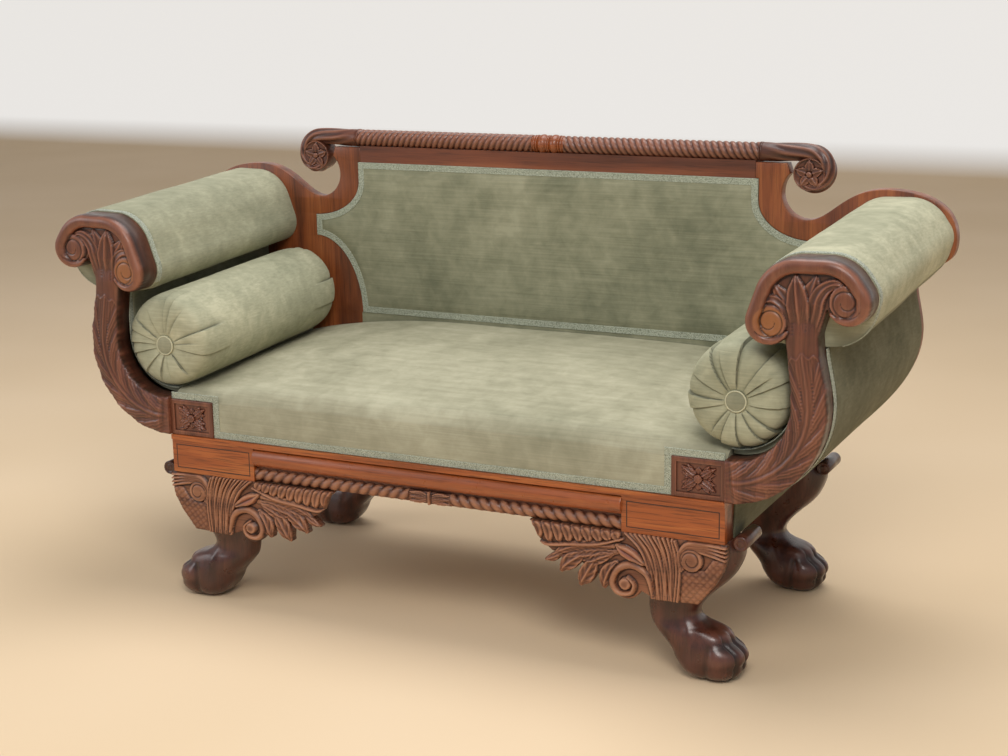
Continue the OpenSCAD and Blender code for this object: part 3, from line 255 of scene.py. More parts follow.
def braid_stuff(name, dark, light):
    """Woven gimp: small loops of cord with fine threads; its beads are in the mesh."""
    m = Nodes(name)
    weave = m.add("ShaderNodeTexVoronoi", feature="F1")
    weave.inputs["Scale"].default_value = 560
    m.link(m.where, weave.inputs["Vector"])
    tone = m.total((weave.outputs["Distance"], 0.9), (m.noise(1500, 2), 0.35))
    base = m.ramp(tone, (0.25, light), (0.85, dark))
    base = m.mix("MULTIPLY", 0.5, base, m.cloud(9, 3, 0.75, 1.0))
    m.colour(base)
    m.set(Roughness=0.85, Specular_IOR_Level=0.25, Sheen_Weight=0.25)
    m.bump(tone, 0.6, 0.0012)
    return m.mat


def woven(name, dark, light, threads):
    """Plain-woven jute or lining cloth: threads along all three axes."""
    m = Nodes(name)
    one, two, three = (m.noise(1.0, 2, 0.5, 0.0, m.stretched(*(
        threads if i == axis else 24.0 for i in range(3)))) for axis in range(3))
    tone = m.math("MULTIPLY", m.math("ADD", m.math("ADD", one, two), three), 0.333)
    base = m.ramp(tone, (0.40, dark), (0.60, light))
    base = m.mix("MULTIPLY", 0.4, base, m.cloud(7, 4, 0.6, 1.0))
    m.colour(base)
    m.set(Roughness=0.95, Specular_IOR_Level=0.15)
    m.bump(tone, 0.5, 0.0009)
    return m.mat


def plain(name, colour, rough, metal, tone):
    m = Nodes(name)
    base = m.mix("MULTIPLY", tone, colour, m.cloud(30, 4, 0.5, 1.0))
    m.colour(base)
    m.rough(m.cloud(90, 3, rough - 0.1, rough + 0.1))
    m.set(Metallic=metal)
    m.bump(m.noise(250, 3), 0.1, 0.0005)
    return m.mat


BROWN_D, BROWN_M, BROWN_L = srgb(82, 40, 24), srgb(122, 64, 38), srgb(154, 90, 56)
M_FRAME_X = wood("mahogany_x", BROWN_D, BROWN_M, BROWN_L, axis=0, coat=0.18)
M_FRAME_Z = wood("mahogany_z", srgb(92, 44, 20), srgb(140, 73, 35), srgb(170, 100, 52), axis=2,
                 coat=0.18)
M_CARVED = wood("mahogany_carved", srgb(76, 37, 25), srgb(110, 61, 42), srgb(142, 88, 62),
                axis=2, rough=0.38, coat=0.22, wear=0.6, recess=0.95, tint=srgb(150, 94, 48))
M_CARVED_X = wood("mahogany_carved_x", srgb(84, 46, 30), srgb(128, 78, 52), srgb(156, 106, 74),
                  axis=0, rough=0.48, coat=0.10, wear=0.8, recess=0.95,
                  tint=srgb(132, 66, 46))
M_VENEER = wood("mahogany_veneer", srgb(134, 66, 26), srgb(166, 86, 36), srgb(188, 112, 54),
                axis=0, rough=0.40, coat=0.2, figure=1.6, pored=0.7)
M_ROUND = wood("mahogany_round", srgb(116, 56, 24), srgb(160, 84, 40), srgb(190, 112, 60),
               axis=0, rough=0.34, coat=0.35, figure=1.3)
M_FEET = wood("mahogany_feet", srgb(48, 23, 16), srgb(78, 39, 27), srgb(106, 60, 43),
              axis=2, rough=0.32, coat=0.3, wear=0.45)
M_CREST = wood("mahogany_crest", srgb(70, 34, 22), srgb(108, 58, 38), srgb(146, 92, 64),
               axis=0, rough=0.42, coat=0.2, wear=0.7, recess=0.95)
M_LINE = wood("stringing", srgb(46, 20, 11), srgb(64, 28, 15), srgb(82, 38, 21), axis=0)
M_BEECH = wood("frame_beech", srgb(120, 88, 52), srgb(158, 122, 78), srgb(184, 150, 102),
               axis=0, rough=0.7, coat=0.0)
# The seat's velvet, then lit and shaded copies of it: one painted lighter for the tops of the
# rolls, bolsters and buttons, one painted in shade for the back and the inner pads, and a darker
# one for the outer covers, partly their nap and partly painted shade.
M_VELVET = velvet("velvet", srgb(143, 141, 117), srgb(166, 162, 137), srgb(187, 183, 157))
M_VELVET_LIT = velvet("velvet_lit_copy", srgb(141, 142, 118), srgb(166, 165, 139), srgb(195, 192, 163))
M_VELVET_SHADED = velvet("velvet_shaded_copy", srgb(110, 112, 91), srgb(136, 136, 112),
                       srgb(160, 158, 133), sheen=0.3)
M_VELVET_NAP_SHADED = velvet("velvet_nap_shaded_copy", srgb(88, 88, 70), srgb(108, 106, 86), srgb(128, 125, 103),
                       sheen=0.25)
M_GIMP = braid_stuff("gimp", srgb(134, 140, 122), srgb(204, 208, 188))
M_JUTE = woven("jute", srgb(120, 96, 60), srgb(178, 150, 104), 420)
M_HESSIAN = woven("hessian", srgb(110, 86, 54), srgb(164, 136, 92), 620)
M_LINING = woven("lining", srgb(30, 30, 28), srgb(58, 58, 54), 900)
M_STEEL = plain("screw_steel", srgb(120, 116, 110), 0.42, 1.0, 0.5)


# ---------------------------------------------------------------- outlines, as in the CAD
def about(centre, degrees, reach):
    """Points about a centre, at angles in degrees and at a distance or distances."""
    a = np.radians(degrees)
    return np.stack([centre[0] + reach * np.cos(a), centre[1] + reach * np.sin(a)], 1)


def way(degrees):
    """The unit vector at an angle."""
    return np.array([math.cos(math.radians(degrees)), math.sin(math.radians(degrees))])


def arc(c, r, a0, a1, n):
    return about(c, np.linspace(a0, a1, n + 1), r)


def spiral(c, r0, r1, a0, turn, n):
    t = np.linspace(0, 1, n + 1)
    return about(c, a0 + turn * t, r0 + (r1 - r0) * t)


def at_depth(p, y):
    """Points of x and z, placed at a y."""
    return np.insert(np.asarray(p, float), 1, y, axis=1)


def bez(a, b, c, d, n):
    t = np.linspace(0, 1, n + 1)[:, None]
    a, b, c, d = (np.asarray(p, float) for p in (a, b, c, d))
    return (1 - t) ** 3 * a + 3 * (1 - t) ** 2 * t * b + 3 * (1 - t) * t * t * c + t ** 3 * d


def hull_line(circles, grow, a0, a1, n):
    """Part of the line drawn round a set of circles, moved out by grow."""
    d = about((0, 0), np.linspace(a0, a1, n + 1), 1)
    c = np.asarray(circles, float)
    k = (d @ c[:, :2].T + c[:, 2]).argmax(1)
    return c[k, :2] + (c[k, 2] + grow)[:, None] * d


def smooth_line(p, n):
    """A smooth curve (Catmull-Rom) through points of any dimension, in n steps a span."""
    p = np.asarray(p, float)
    q = np.vstack([2 * p[0] - p[1], p, 2 * p[-1] - p[-2]])
    out = []
    for i in range(1, len(q) - 2):
        t = np.linspace(0, 1, n, endpoint=False)[:, None]
        a, b, c, d = q[i - 1], q[i], q[i + 1], q[i + 2]
        out.append(0.5 * (2 * b + (c - a) * t + (2 * a - 5 * b + 4 * c - d) * t ** 2
                          + (3 * b - a - 3 * c + d) * t ** 3))
    return np.vstack(out + [p[-1:]])


def travelled(p):
    """The length along a path at each of its points."""
    return np.concatenate([[0], np.cumsum(np.linalg.norm(np.diff(p, axis=0), axis=1))])


def even(p, n):
    """n points spaced evenly along a path."""
    s = travelled(p)
    k = np.linspace(0, s[-1], n)
    return np.stack([np.interp(k, s, p[:, i]) for i in range(p.shape[1])], 1)


def resample(p, step):
    p = np.asarray(p, float)
    return even(p, max(2, int(round(travelled(p)[-1] / step))) + 1)


def shifted(p, d):
    """An open path moved to its left by d."""
    p = np.asarray(p, float)
    t = np.empty_like(p)
    t[1:-1] = p[2:] - p[:-2]
    t[0], t[-1] = p[1] - p[0], p[-1] - p[-2]
    t /= np.linalg.norm(t, axis=1)[:, None]
    return p + d * np.stack([-t[:, 1], t[:, 0]], 1)


RAIL_Z, RAIL_TOP, DECK_Z, BLOCK_TOP = 266.0, 333.0, 343.0, 415.0
SEAT_DEPTH, BACK_Y = 542.0, 570.0
POST_X, HEAD_W = 580.0, 212.0
NECK_Z = DECK_Z + 302
NECK_IN, NECK_OUT = POST_X + 101, POST_X + 158
HEAD_X, HEAD_Z = POST_X + 35, DECK_Z + 283
POST_FRONT, POST_BACK, PLATE_FRONT = -6.0, 30.0, -9.0
ARM_Y, ARM_END = 30.1, 541.7
SPREAD, RISE = 4.0, 26.0
HEAD_SHARES = np.array([[0.198, 0.193, 0.198], [0.429, 0.340, 0.368], [0.627, 0.354, 0.3585],
                        [0.802, 0.382, 0.198]])


def circles(share=0.0):
    return np.stack([HEAD_X + SPREAD * share + HEAD_W * HEAD_SHARES[:, 0],
                     HEAD_Z + RISE * share + HEAD_W * HEAD_SHARES[:, 1],
                     HEAD_W * HEAD_SHARES[:, 2]], 1)


def arm_share(y):
    return (y - ARM_Y) / (ARM_END - ARM_Y)


HEAD = circles()
LOW_C, HIGH_C = HEAD[0, :2], HEAD[3, :2]
VOLUTE_R, BAND_W, ARCH_H = HEAD_W * 0.198, 26.0, 16.0
LOW_START, HIGH_START, VOLUTE_TURN = 200, -10, 0.66     # angles where the volutes begin
SWEEP_C, SWEEP_R = np.array([POST_X, DECK_Z + 176.5]), 176.5
INNER_C, INNER_R = np.array([POST_X + 10, DECK_Z + 77 + 104]), 104.0
OUTER_EDGE = np.vstack([arc(SWEEP_C, SWEEP_R, -90, 0, 10),
                        bez(SWEEP_C + [SWEEP_R, 0], SWEEP_C + [SWEEP_R, 45],
                            [NECK_OUT, NECK_Z - 45], [NECK_OUT, NECK_Z], 4)[1:]])
INNER_EDGE = np.vstack([[[POST_X, INNER_C[1] - INNER_R]], arc(INNER_C, INNER_R, -88, 0, 10),
                        bez(INNER_C + [INNER_R, 0], INNER_C + [INNER_R, 42],
                            [NECK_IN + 6, NECK_Z - 42], [NECK_IN, NECK_Z], 4)[1:]])


def volute_outer(x):
    return VOLUTE_R * (1 - 0.62 * x ** 1.5)


def volute_inner(x):
    return (VOLUTE_R - BAND_W) * (1 + 2.4 * x)


def volute_rim(c, start, hand, grow):
    x = VOLUTE_TURN * np.linspace(0, 1, 21)
    return about(c, start + hand * 360 * x, volute_outer(x) + grow)


def head_outline(grow):
    return np.vstack([volute_rim(LOW_C, LOW_START, 1, grow)[::-1],
                      hull_line(HEAD, grow, LOW_START, HIGH_START, 60)[1:],
                      volute_rim(HIGH_C, HIGH_START, -1, grow)[1:]])


NECK_TOP = (HIGH_C + LOW_C) / 2 + [0, HEAD_W * 0.2]
NECK = np.array([[NECK_OUT, NECK_Z], HIGH_C + [-VOLUTE_R * 0.78, -VOLUTE_R * 0.3], NECK_TOP,
                 LOW_C + [VOLUTE_R * 0.74, -VOLUTE_R * 0.3], [NECK_IN, NECK_Z]])


# ---------------------------------------------------------------- mesh making
def make(name, verts, faces, mat, body="frame", attrs=None, slot=None, crisp=None):
    """An object from points in CAD millimetres: attrs are floats for each point, and edges
    of more than crisp degrees stay sharp."""
    v = np.asarray(verts, float).copy()
    v[:, 1] -= MIDDLE_Y
    me = bpy.data.meshes.new(name)
    me.from_pydata((v / 1000).tolist(), [], [tuple(int(i) for i in f) for f in faces])
    me.validate()
    for key, values in (attrs or {}).items():
        me.attributes.new(key, "FLOAT", "POINT").data.foreach_set(
            "value", np.asarray(values, dtype=np.float32))
    me.polygons.foreach_set("use_smooth", [True] * len(me.polygons))
    if crisp:
        me.set_sharp_from_angle(angle=math.radians(crisp))
    me.materials.append(mat)
    obj = bpy.data.objects.new(name, me)
    scene.collection.objects.link(obj)
    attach(obj, body)
    return obj


def pair(name, verts, faces, mat, nodes, body=("frame", "frame"), **more):
    """The right-hand piece and its mirror image, each standing for its CAD nodes."""
    v = np.asarray(verts, float)
    right = make(name + "_right_look", v, faces, mat, body[0], **more)
    left = make(name + "_left_look", v * [-1, 1, 1], [tuple(reversed(tuple(f))) for f in faces],
                mat, body[1], **more)
    for obj, side in ((right, "right"), (left, "left")):
        for n in nodes:
            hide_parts(f"{n}_{side}")
    return right, left


def grid_faces(n, m, closed=False):
    """Quads over n rows of m points; closed joins the last point of a row to its first."""
    i, j = np.meshgrid(np.arange(n - 1), np.arange(m if closed else m - 1), indexing="ij")
    i, j = i.ravel(), j.ravel()
    k = (j + 1) % m
    return np.stack([i * m + j, i * m + k, (i + 1) * m + k, (i + 1) * m + j], 1).tolist()


def tube(rings):
    """Points and faces of a closed skin through rings of equal length."""
    rings = np.asarray(rings, float)
    n, m = rings.shape[:2]
    caps = [list(range(m))[::-1], list(range((n - 1) * m, n * m))]
    return rings.reshape(-1, 3), grid_faces(n, m, True) + caps


def facing_out(verts, faces):
    """The same faces, turned so that they face out."""
    bm = bmesh.new()
    vs = [bm.verts.new(tuple(p)) for p in verts]
    for f in faces:
        try:
            bm.faces.new([vs[i] for i in f])
        except ValueError:
            pass
    bmesh.ops.recalc_face_normals(bm, faces=bm.faces)
    bm.verts.index_update()
    out = [[v.index for v in f.verts] for f in bm.faces]
    bm.free()
    return out


def skin(rings):
    """A tube with its faces turned out."""
    v, f = tube(rings)
    return v, facing_out(v, f)


def join(parts):
    """Several meshes as one."""
    v, f, n = [], [], 0
    for pv, pf in parts:
        v.append(pv)
        f += [[i + n for i in q] for q in pf]
        n += len(pv)
    return np.vstack(v), f


def polygon_sd(poly, X, Z):
    """Distance inside (plus) or outside (minus) of a closed outline."""
    best = np.full(X.shape, 1e18)
    inside = np.zeros(X.shape, bool)
    p = np.asarray(poly, float)
    for a, b in zip(p, np.roll(p, -1, 0)):
        e = b - a
        l2 = e @ e
        if l2 < 1e-12:
            continue
        qx, qz = X - a[0], Z - a[1]
        t = np.clip((qx * e[0] + qz * e[1]) / l2, 0, 1)
        best = np.minimum(best, (qx - t * e[0]) ** 2 + (qz - t * e[1]) ** 2)
        cross = (a[1] > Z) != (b[1] > Z)
        with np.errstate(divide="ignore", invalid="ignore"):
            at = a[0] + (Z - a[1]) / (b[1] - a[1]) * e[0]
        inside ^= cross & (X < at)
    return np.where(inside, 1, -1) * np.sqrt(best)


def along(path, X, Z):
    """Share of the way along a path, signed distance to its left, and its length."""
    p = np.asarray(path, float)
    seg = np.diff(p, axis=0)
    length, start = np.linalg.norm(seg, axis=1), travelled(p)
    best = np.full(X.shape, 1e18)
    t, d = np.zeros(X.shape), np.zeros(X.shape)
    for i in range(len(seg)):
        u = seg[i] / length[i]
        qx, qz = X - p[i, 0], Z - p[i, 1]
        k = np.clip(qx * u[0] + qz * u[1], 0, length[i])
        dx, dz = qx - k * u[0], qz - k * u[1]
        dist = dx * dx + dz * dz
        near = dist < best
        best[near] = dist[near]
        t[near] = ((start[i] + k) / start[-1])[near]
        d[near] = (np.where(u[0] * dz - u[1] * dx >= 0, 1, -1) * np.sqrt(dist))[near]
    return t, d, start[-1]


class Carving:
    """A height over a face, worked on by strokes; heights are in millimetres."""

    def __init__(self, X, Z):
        self.X, self.Z = X, Z
        self.H = np.zeros(X.shape)

    def put(self, out, height, gap, width=1.6):
        """Lays a form over what is there. out is the distance outside its edge."""
        self.H = self.H - gap * np.exp(-(np.maximum(out, 0) / width) ** 2) * (out > 0)
        self.H = np.where(out <= 0, np.maximum(self.H, height), self.H)

    def boss(self, d, r, low, high, gap):
        """A round boss with a domed face; d is the distance from its middle."""
        self.put(d - r, low + high * np.sqrt(np.clip(1 - (d / (r + 0.5)) ** 2, 0, 1)), gap)

    def track(self, path, stretch, half=()):
        """Share along a smoothed path, distance from it, and the half width there."""
        t, d = along(smooth_line(path, stretch), self.X, self.Z)[:2]
        return t, np.abs(d), np.interp(t, np.linspace(0, 1, len(half)), half) if len(half) else 1

    def leaf(self, path, half, high, base, veins, rib=0.25, gap=1.2, hollow=0.22, root=False):
        """A carved leaf: half widths are spread evenly along its path; with root it grows
        out of what is there, with no edge at its start."""
        t, d, w = self.track(path, 6, half)
        u = d / np.maximum(w, 0.3)
        shape = 0.80 - hollow * np.sin(np.pi * np.clip(u, 0, 1)) + rib * np.exp(-(u / 0.16) ** 2)
        shape = shape * np.clip(1.35 - u ** 6 * 0.8, 0, 1)
        if veins:
            lines = 0.10 * np.cos(2 * np.pi * (t * veins + 1.5 * u))
            shape = shape + lines * (u > 0.2) * (u < 0.92)
        rise = np.minimum(1, 0.6 + 3 * t) * np.minimum(1, 0.45 + 4 * (1 - t))
        if root:
            grown_out = np.clip(t / 0.42, 0, 1) ** 1.4
            rise, gap = rise * grown_out, gap * grown_out
        self.put(d - w, base + high * shape * rise, gap)

    def rod(self, path, half, high, base, gap=0.8, stretch=1):
        """A half-round strand."""
        d, w = self.track(path, stretch, half)[1:]
        u = np.clip(d / np.maximum(w, 0.2), 0, 1)
        self.put(d - w, base + high * np.sqrt(1 - u * u), gap)

    def groove(self, path, width, deep, stretch=1):
        t, d = self.track(path, stretch)[:2]
        w = width * np.minimum(1, 0.25 + 4 * np.minimum(t, 1 - t))
        self.H = self.H - deep * np.exp(-(d / w) ** 2)

    def dot(self, x, z, r, high):
        d = np.hypot(self.X - x, self.Z - z)
        self.H = self.H + high * np.exp(-(d / r) ** 2)


def relief(low, high, cell, inside, height, face, back, edge):
    """A carved panel: a fine grid over an outline, with sides and a flat back. Heights rise
    from face to the front; the attribute cav is below 0 in recesses and above 0 on ridges."""
    xs = np.arange(low[0], high[0] + cell, cell)
    zs = np.arange(low[1], high[1] + cell, cell)
    X, Z = np.meshgrid(xs, zs, indexing="ij")
    s = inside(X.ravel(), Z.ravel()).reshape(X.shape)
    keep = (s[:-1, :-1] + s[1:, :-1] + s[:-1, 1:] + s[1:, 1:]) > 0
    count = np.zeros(X.shape, int)
    for di in (0, 1):
        for dj in (0, 1):
            count[di:di + keep.shape[0], dj:dj + keep.shape[1]] += keep
    used = count > 0
    index = -np.ones(X.shape, int)
    index[used] = np.arange(used.sum())
    x, z = X[used].copy(), Z[used].copy()
    rim = count[used] < 4
    for _ in range(4):
        e = 0.15
        sd = inside(x[rim], z[rim])
        gx = (inside(x[rim] + e, z[rim]) - sd) / e
        gz = (inside(x[rim], z[rim] + e) - sd) / e
        g2 = np.maximum(gx * gx + gz * gz, 0.25)
        move = np.clip(sd, -cell, cell)
        x[rim] -= move * gx / g2
        z[rim] -= move * gz / g2
    sd = np.maximum(inside(x, z), 0)
    sd[rim] = 0
    h = height(x, z)
    smooth = np.full(X.shape, np.nan)
    smooth[used] = h
    soft = smooth.copy()
    for _ in range(10):
        pad = np.pad(soft, 1, mode="edge")
        near = np.array([pad[1 + a:pad.shape[0] - 1 + a, 1 + b:pad.shape[1] - 1 + b]
                         for a, b in ((0, 0), (1, 0), (-1, 0), (0, 1), (0, -1))])
        known = ~np.isnan(near)
        soft = np.where(known, near, 0).sum(0) / np.maximum(known.sum(0), 1)
        soft[~used] = np.nan
    cav = np.clip((h - soft[used]) / 1.6, -1, 1)
    k = np.minimum(sd, edge)
    h = h - (edge - np.sqrt(np.maximum(edge * edge - (edge - k) ** 2, 0)))
    v = np.stack([x, face - h, z], 1)
    i, j = np.nonzero(keep)
    quads = np.stack([index[i, j], index[i + 1, j], index[i + 1, j + 1], index[i, j + 1]], 1)
    edges = {}
    for q in quads.tolist():
        for a, b in zip(q, q[1:] + q[:1]):
            if edges.pop((b, a), None) is None:
                edges[(a, b)] = True
    ring = sorted({i for e in edges for i in e})
    rear = {a: len(v) + n for n, a in enumerate(ring)}
    back_v = v[ring].copy()
    back_v[:, 1] = back
    faces = quads.tolist() + [[b, a, rear[a], rear[b]] for a, b in edges]
    v = np.vstack([v, back_v])
    cav = np.concatenate([cav, np.zeros(len(ring))])
    following = {}
    for a, b in edges:
        following.setdefault(a, []).append(b)
    loops = []
    while following:
        a = next(iter(following))
        loop = [a]
        while True:
            nexts = following.get(loop[-1])
            if not nexts:
                break
            b = nexts.pop()
            if not nexts:
                del following[loop[-1]]
            if b == loop[0]:
                break
            loop.append(b)
        if len(loop) > 2:
            loops.append(loop)
    flat = [r for loop in loops for r in loop]
    tris = tessellate_polygon([[Vector((v[r][0], v[r][2], 0)) for r in loop] for loop in loops])
    for t in tris:
        p = [v[flat[n]] for n in t]
        (ax, _, az), (bx, _, bz) = p[1] - p[0], p[2] - p[0]
        f = [rear[flat[n]] for n in t]
        faces.append(f if ax * bz - bx * az < 0 else f[::-1])
    return v, faces, {"cav": cav}


# ---------------------------------------------------------------- carved arm fronts
HEAD_POLY, POST_POLY = head_outline(0.0), np.vstack([OUTER_EDGE, NECK[1:4], INNER_EDGE[::-1]])
MID_PATH = (OUTER_EDGE + INNER_EDGE[1:]) / 2
HALF_PATH = np.linalg.norm(OUTER_EDGE - INNER_EDGE[1:], axis=1) / 2
CORE_POLY = np.vstack([NECK[:2], [HIGH_C + [6, -8], HIGH_C + [4, 26], HEAD[2, :2] + [14, 44],
                                  HEAD[1, :2] + [-10, 40], LOW_C + [-4, 28], LOW_C + [-6, -8]],
                       NECK[3:]])
BOSS_R = 29.0


def boss_distance(X, Z):
    return np.minimum(np.hypot(X - LOW_C[0], Z - LOW_C[1]),
                      np.hypot(X - HIGH_C[0], Z - HIGH_C[1]))


def head_depth(X, Z):
    """Distance inside the scroll's outline, with the ground between its volutes."""
    s = np.maximum(polygon_sd(HEAD_POLY, X, Z), polygon_sd(CORE_POLY, X, Z))
    return np.maximum(s, BOSS_R - boss_distance(X, Z))


def arm_front_inside(X, Z):
    return np.maximum(head_depth(X, Z), polygon_sd(POST_POLY, X, Z))


def volute_path(centre, start, hand, turns):
    middle = (volute_outer(turns) + volute_inner(turns)) / 2
    return about(centre, start + hand * 360 * turns, middle)


# palmette leaves, from the back to the front: path, half widths, height, share of the midrib
OUTER_LEFT = [(698, 644), (686, 669), (676, 691), (660, 702), (643, 696), (633, 680)]
OUTER_RIGHT = [(721, 648), (731, 685), (737, 711), (750, 729), (768, 736), (789, 728)]
PALMETTE = [([(704, 650), (690, 690), (674, 713), (661, 732)], [10, 13, 16, 13, 1.2], 7.0, 0.2),
            ([(713, 655), (722, 700), (729, 726), (735, 750)], [10, 14, 17, 14, 1.2], 7.0, 0.2),
            (OUTER_LEFT, [10, 12, 12, 11, 8, 1.5], 10.0, 0.05),
            (OUTER_RIGHT, [10, 12, 13, 12, 8, 1.5], 10.0, 0.05),
            ([(708, 646), (705, 690), (702, 718), (699, 750)], [15, 17, 20, 15, 1.2], 12.0, 0.2)]


def arm_front_height(X, Z):
    c = Carving(X, Z)
    ground = POST_FRONT - PLATE_FRONT
    # the post: long overlapping lobes that rise from a broad vein to the edges
    t, d, length = along(MID_PATH, X, Z)
    half = np.interp(t, np.linspace(0, 1, len(HALF_PATH)), HALF_PATH)
    u = np.clip(np.abs(d) / half, 0, 1)
    side = np.sign(d)
    body = 1.0 + 7.5 * np.sqrt(np.maximum(1 - u ** 2.2, 0))
    s = t * length
    phase = s / np.where(side > 0, 54.0, 48.0) - np.where(side > 0, 1.75, 1.5) * u ** 0.85
    f = phase - np.floor(phase)
    begin = 0.16 + 0.46 * np.clip((t - 0.64) / 0.24, 0, 1)
    on = np.clip((u - begin) / 0.2, 0, 1)
    lobe = 3.0 * (np.sin(np.pi * f ** 1.7) - 0.6) * on
    fine = 0.65 * np.cos(2 * np.pi * phase * 4) * on
    inner = 0.35 * np.cos(2 * np.pi * u * 5) * (1 - on)
    vein = 1.3 * np.exp(-(u / 0.09) ** 2) - 0.9 * np.exp(-((u - begin) / 0.05) ** 2)
    row = np.exp(-((u - 0.34) / 0.055) ** 2) * np.clip((t - 0.5) / 0.08, 0, 1)
    beads = 0.9 * np.cos(2 * np.pi * s / 6.2) * row * np.clip((0.8 - t) / 0.05, 0, 1)
    carved = body + lobe + fine + inner + vein + beads
    top = 0.905 - 0.035 * u ** 2 + 0.012 * np.cos(u * 9)
    blend = np.clip((top - t) / 0.012, 0, 1)
    foot = np.clip((t - 0.015) / 0.02, 0, 1)
    collar = body - 0.6 + 1.2 * np.exp(-((t - top) / 0.006) ** 2)
    post = blend * carved * (0.4 + 0.6 * foot) + (1 - blend) * collar
    # the neck swells smoothly into the palmette's ground
    middle = 709 - 0.06 * (Z - NECK_Z)
    swell = np.clip(1 - (Z - NECK_Z) / 70, 0, 1) ** 1.3
    mound = ground + 5.5 * swell * np.clip(1 - np.abs((X - middle) / 30) ** 2.6, 0, 1)
    c.H = np.where(head_depth(X, Z) > 0, mound, post)
    in_post = polygon_sd(POST_POLY, X, Z) > 0
    fade = np.clip((Z - NECK_Z + 10) / 24, 0, 1)
    c.H = np.where(in_post, (1 - fade) * post + fade * mound, c.H)

    for line, half_w, high, rib in PALMETTE:
        c.leaf(line, half_w, high, ground, 0, rib=rib, gap=1.6, hollow=0.30, root=True)
    for k in (-0.6, -0.15, 0.35):
        c.groove(shifted(smooth_line(OUTER_RIGHT, 3)[4:-1], k * 11), 0.8, 1.0, 2)
        c.groove(shifted(smooth_line(OUTER_LEFT, 3)[4:-1], k * 11), 0.8, 0.9, 2)
    for hand, low in ((-1, 650.0), (1, 657.0)):
        for k in range(2):
            c.groove([[707 + hand * (4 + 4 * k), 678], [705 + hand * (7 + 5 * k), 700 + 4 * k],
                      [702 + hand * (10 + 2 * k), 722]], 0.7, 0.8, 6)
        for k in range(4):
            c.dot(707 + hand * 11, low + 5.6 * k, 1.7, -1.1)

    # rounded moulding over the top and into both volutes
    x = 0.36 * np.linspace(0, 1, 16)
    half_v = (volute_outer(x) - volute_inner(x)) / 2
    top_line = hull_line(HEAD, -BAND_W / 2, LOW_START, HIGH_START, 60)
    line = np.vstack([volute_path(LOW_C, LOW_START, 1, x)[::-1], top_line[1:],
                      volute_path(HIGH_C, HIGH_START, -1, x)[1:]])
    halves = np.concatenate([half_v[::-1], np.full(len(top_line) - 1, BAND_W / 2), half_v[1:]])
    t, d, length = along(line, X, Z)
    w = np.interp(t * length, travelled(line), halves)
    q = np.clip(np.abs(d) / np.maximum(w, 0.3), 0, 1)
    rise = ground + 2 + (ARCH_H - 2) * np.sqrt(1 - q ** 2.3) * np.clip(w / (BAND_W / 2), 0.35, 1)
    disc = boss_distance(X, Z)
    c.boss(disc, 28.5, ground + 6.0, 2.2, 1.5)
    c.put(np.abs(d) - w, rise, 2.0, 1.3)
    c.groove(spiral(LOW_C, 27.5, 8.5, 215, 520, 60), 1.3, 2.6)
    c.groove(spiral(HIGH_C, 27.5, 8.5, -25, -520, 60), 1.3, 2.6)
    return c.H


v, f, at = relief((575, 340), (830, 780), 1.5, arm_front_inside, arm_front_height,
                  POST_FRONT, POST_BACK, 2.2)
wear_and_shade = np.hypot(v[:, 0] - LOW_C[0], v[:, 2] - LOW_C[1])
at["tint"] = 0.75 * np.clip((27 - wear_and_shade) / 3, 0, 1)
pair("arm_front", v, f, M_CARVED, ["arm_front"], attrs=at, slot="mahogany")


# ---------------------------------------------------------------- winged brackets
WING_POLY = np.array([(206, 266), (219.5, 254.5), (231, 228), (252, 212), (290, 204), (330, 190),
                      (360, 172), (372, 160), (397, 150), (418, 162), (449, 149), (487, 150),
                      (533, 151), (562.8, 188), (577, 214), (584.4, 240), (584.4, 266)])
# hanging leaves: path, half widths, height, veins; egg shapes in front of long feathers
WING_LEAVES = [
    ([(372, 236), (335, 232), (290, 224), (254, 206)], [4, 9, 11, 9, 2], 7.0, 9),
    ([(380, 226), (345, 218), (310, 210), (270, 204)], [4, 9, 11, 9, 2], 7.5, 8),
    ([(270, 208), (255, 200), (240, 194)], [3, 7, 8, 6, 2.5], 7.5, 3),
    ([(314, 214), (292, 199), (279, 188), (272, 179)], [5, 12, 15, 13, 5], 10.0, 3),
    ([(372, 222), (352, 214), (332, 204), (318, 202)], [3, 9, 11, 9, 3], 10.0, 4),
    ([(338, 206), (326, 186), (317, 170), (310, 158)], [5, 13, 16, 15, 5], 10.5, 3),
    ([(378, 206), (366, 190), (359, 174), (355, 160)], [5, 12, 15, 14, 5], 10.5, 3),
]
CURL_1, CURL_2 = np.array([397.0, 171.0]), np.array([521.0, 230.5])
# the band over the first curl: angle about its centre, distance, half width
BAND_1 = np.array([(-16, 54, 2.0), (28, 46, 5.0), (70, 38, 7.0), (119, 29, 7.0), (180, 25.5, 6.5),
                   (234, 23, 6.0), (300, 19.5, 5.0), (360, 16.5, 4.0), (430, 13, 2.5)])


BAND_1_PATH = about(CURL_1, BAND_1[:, 0], BAND_1[:, 1])


def wing_inside(X, Z):
    s = polygon_sd(WING_POLY, X, Z)
    s = np.maximum(s, 30.0 - np.hypot(X - CURL_1[0], Z - CURL_1[1]))
    for line, half in (leaf[:2] for leaf in WING_LEAVES):
        t, d = along(smooth_line(line, 6), X, Z)[:2]
        s = np.maximum(s, np.interp(t, np.linspace(0, 1, len(half)), half) - np.abs(d))
    return np.minimum(s, RAIL_Z - 0.4 - Z)


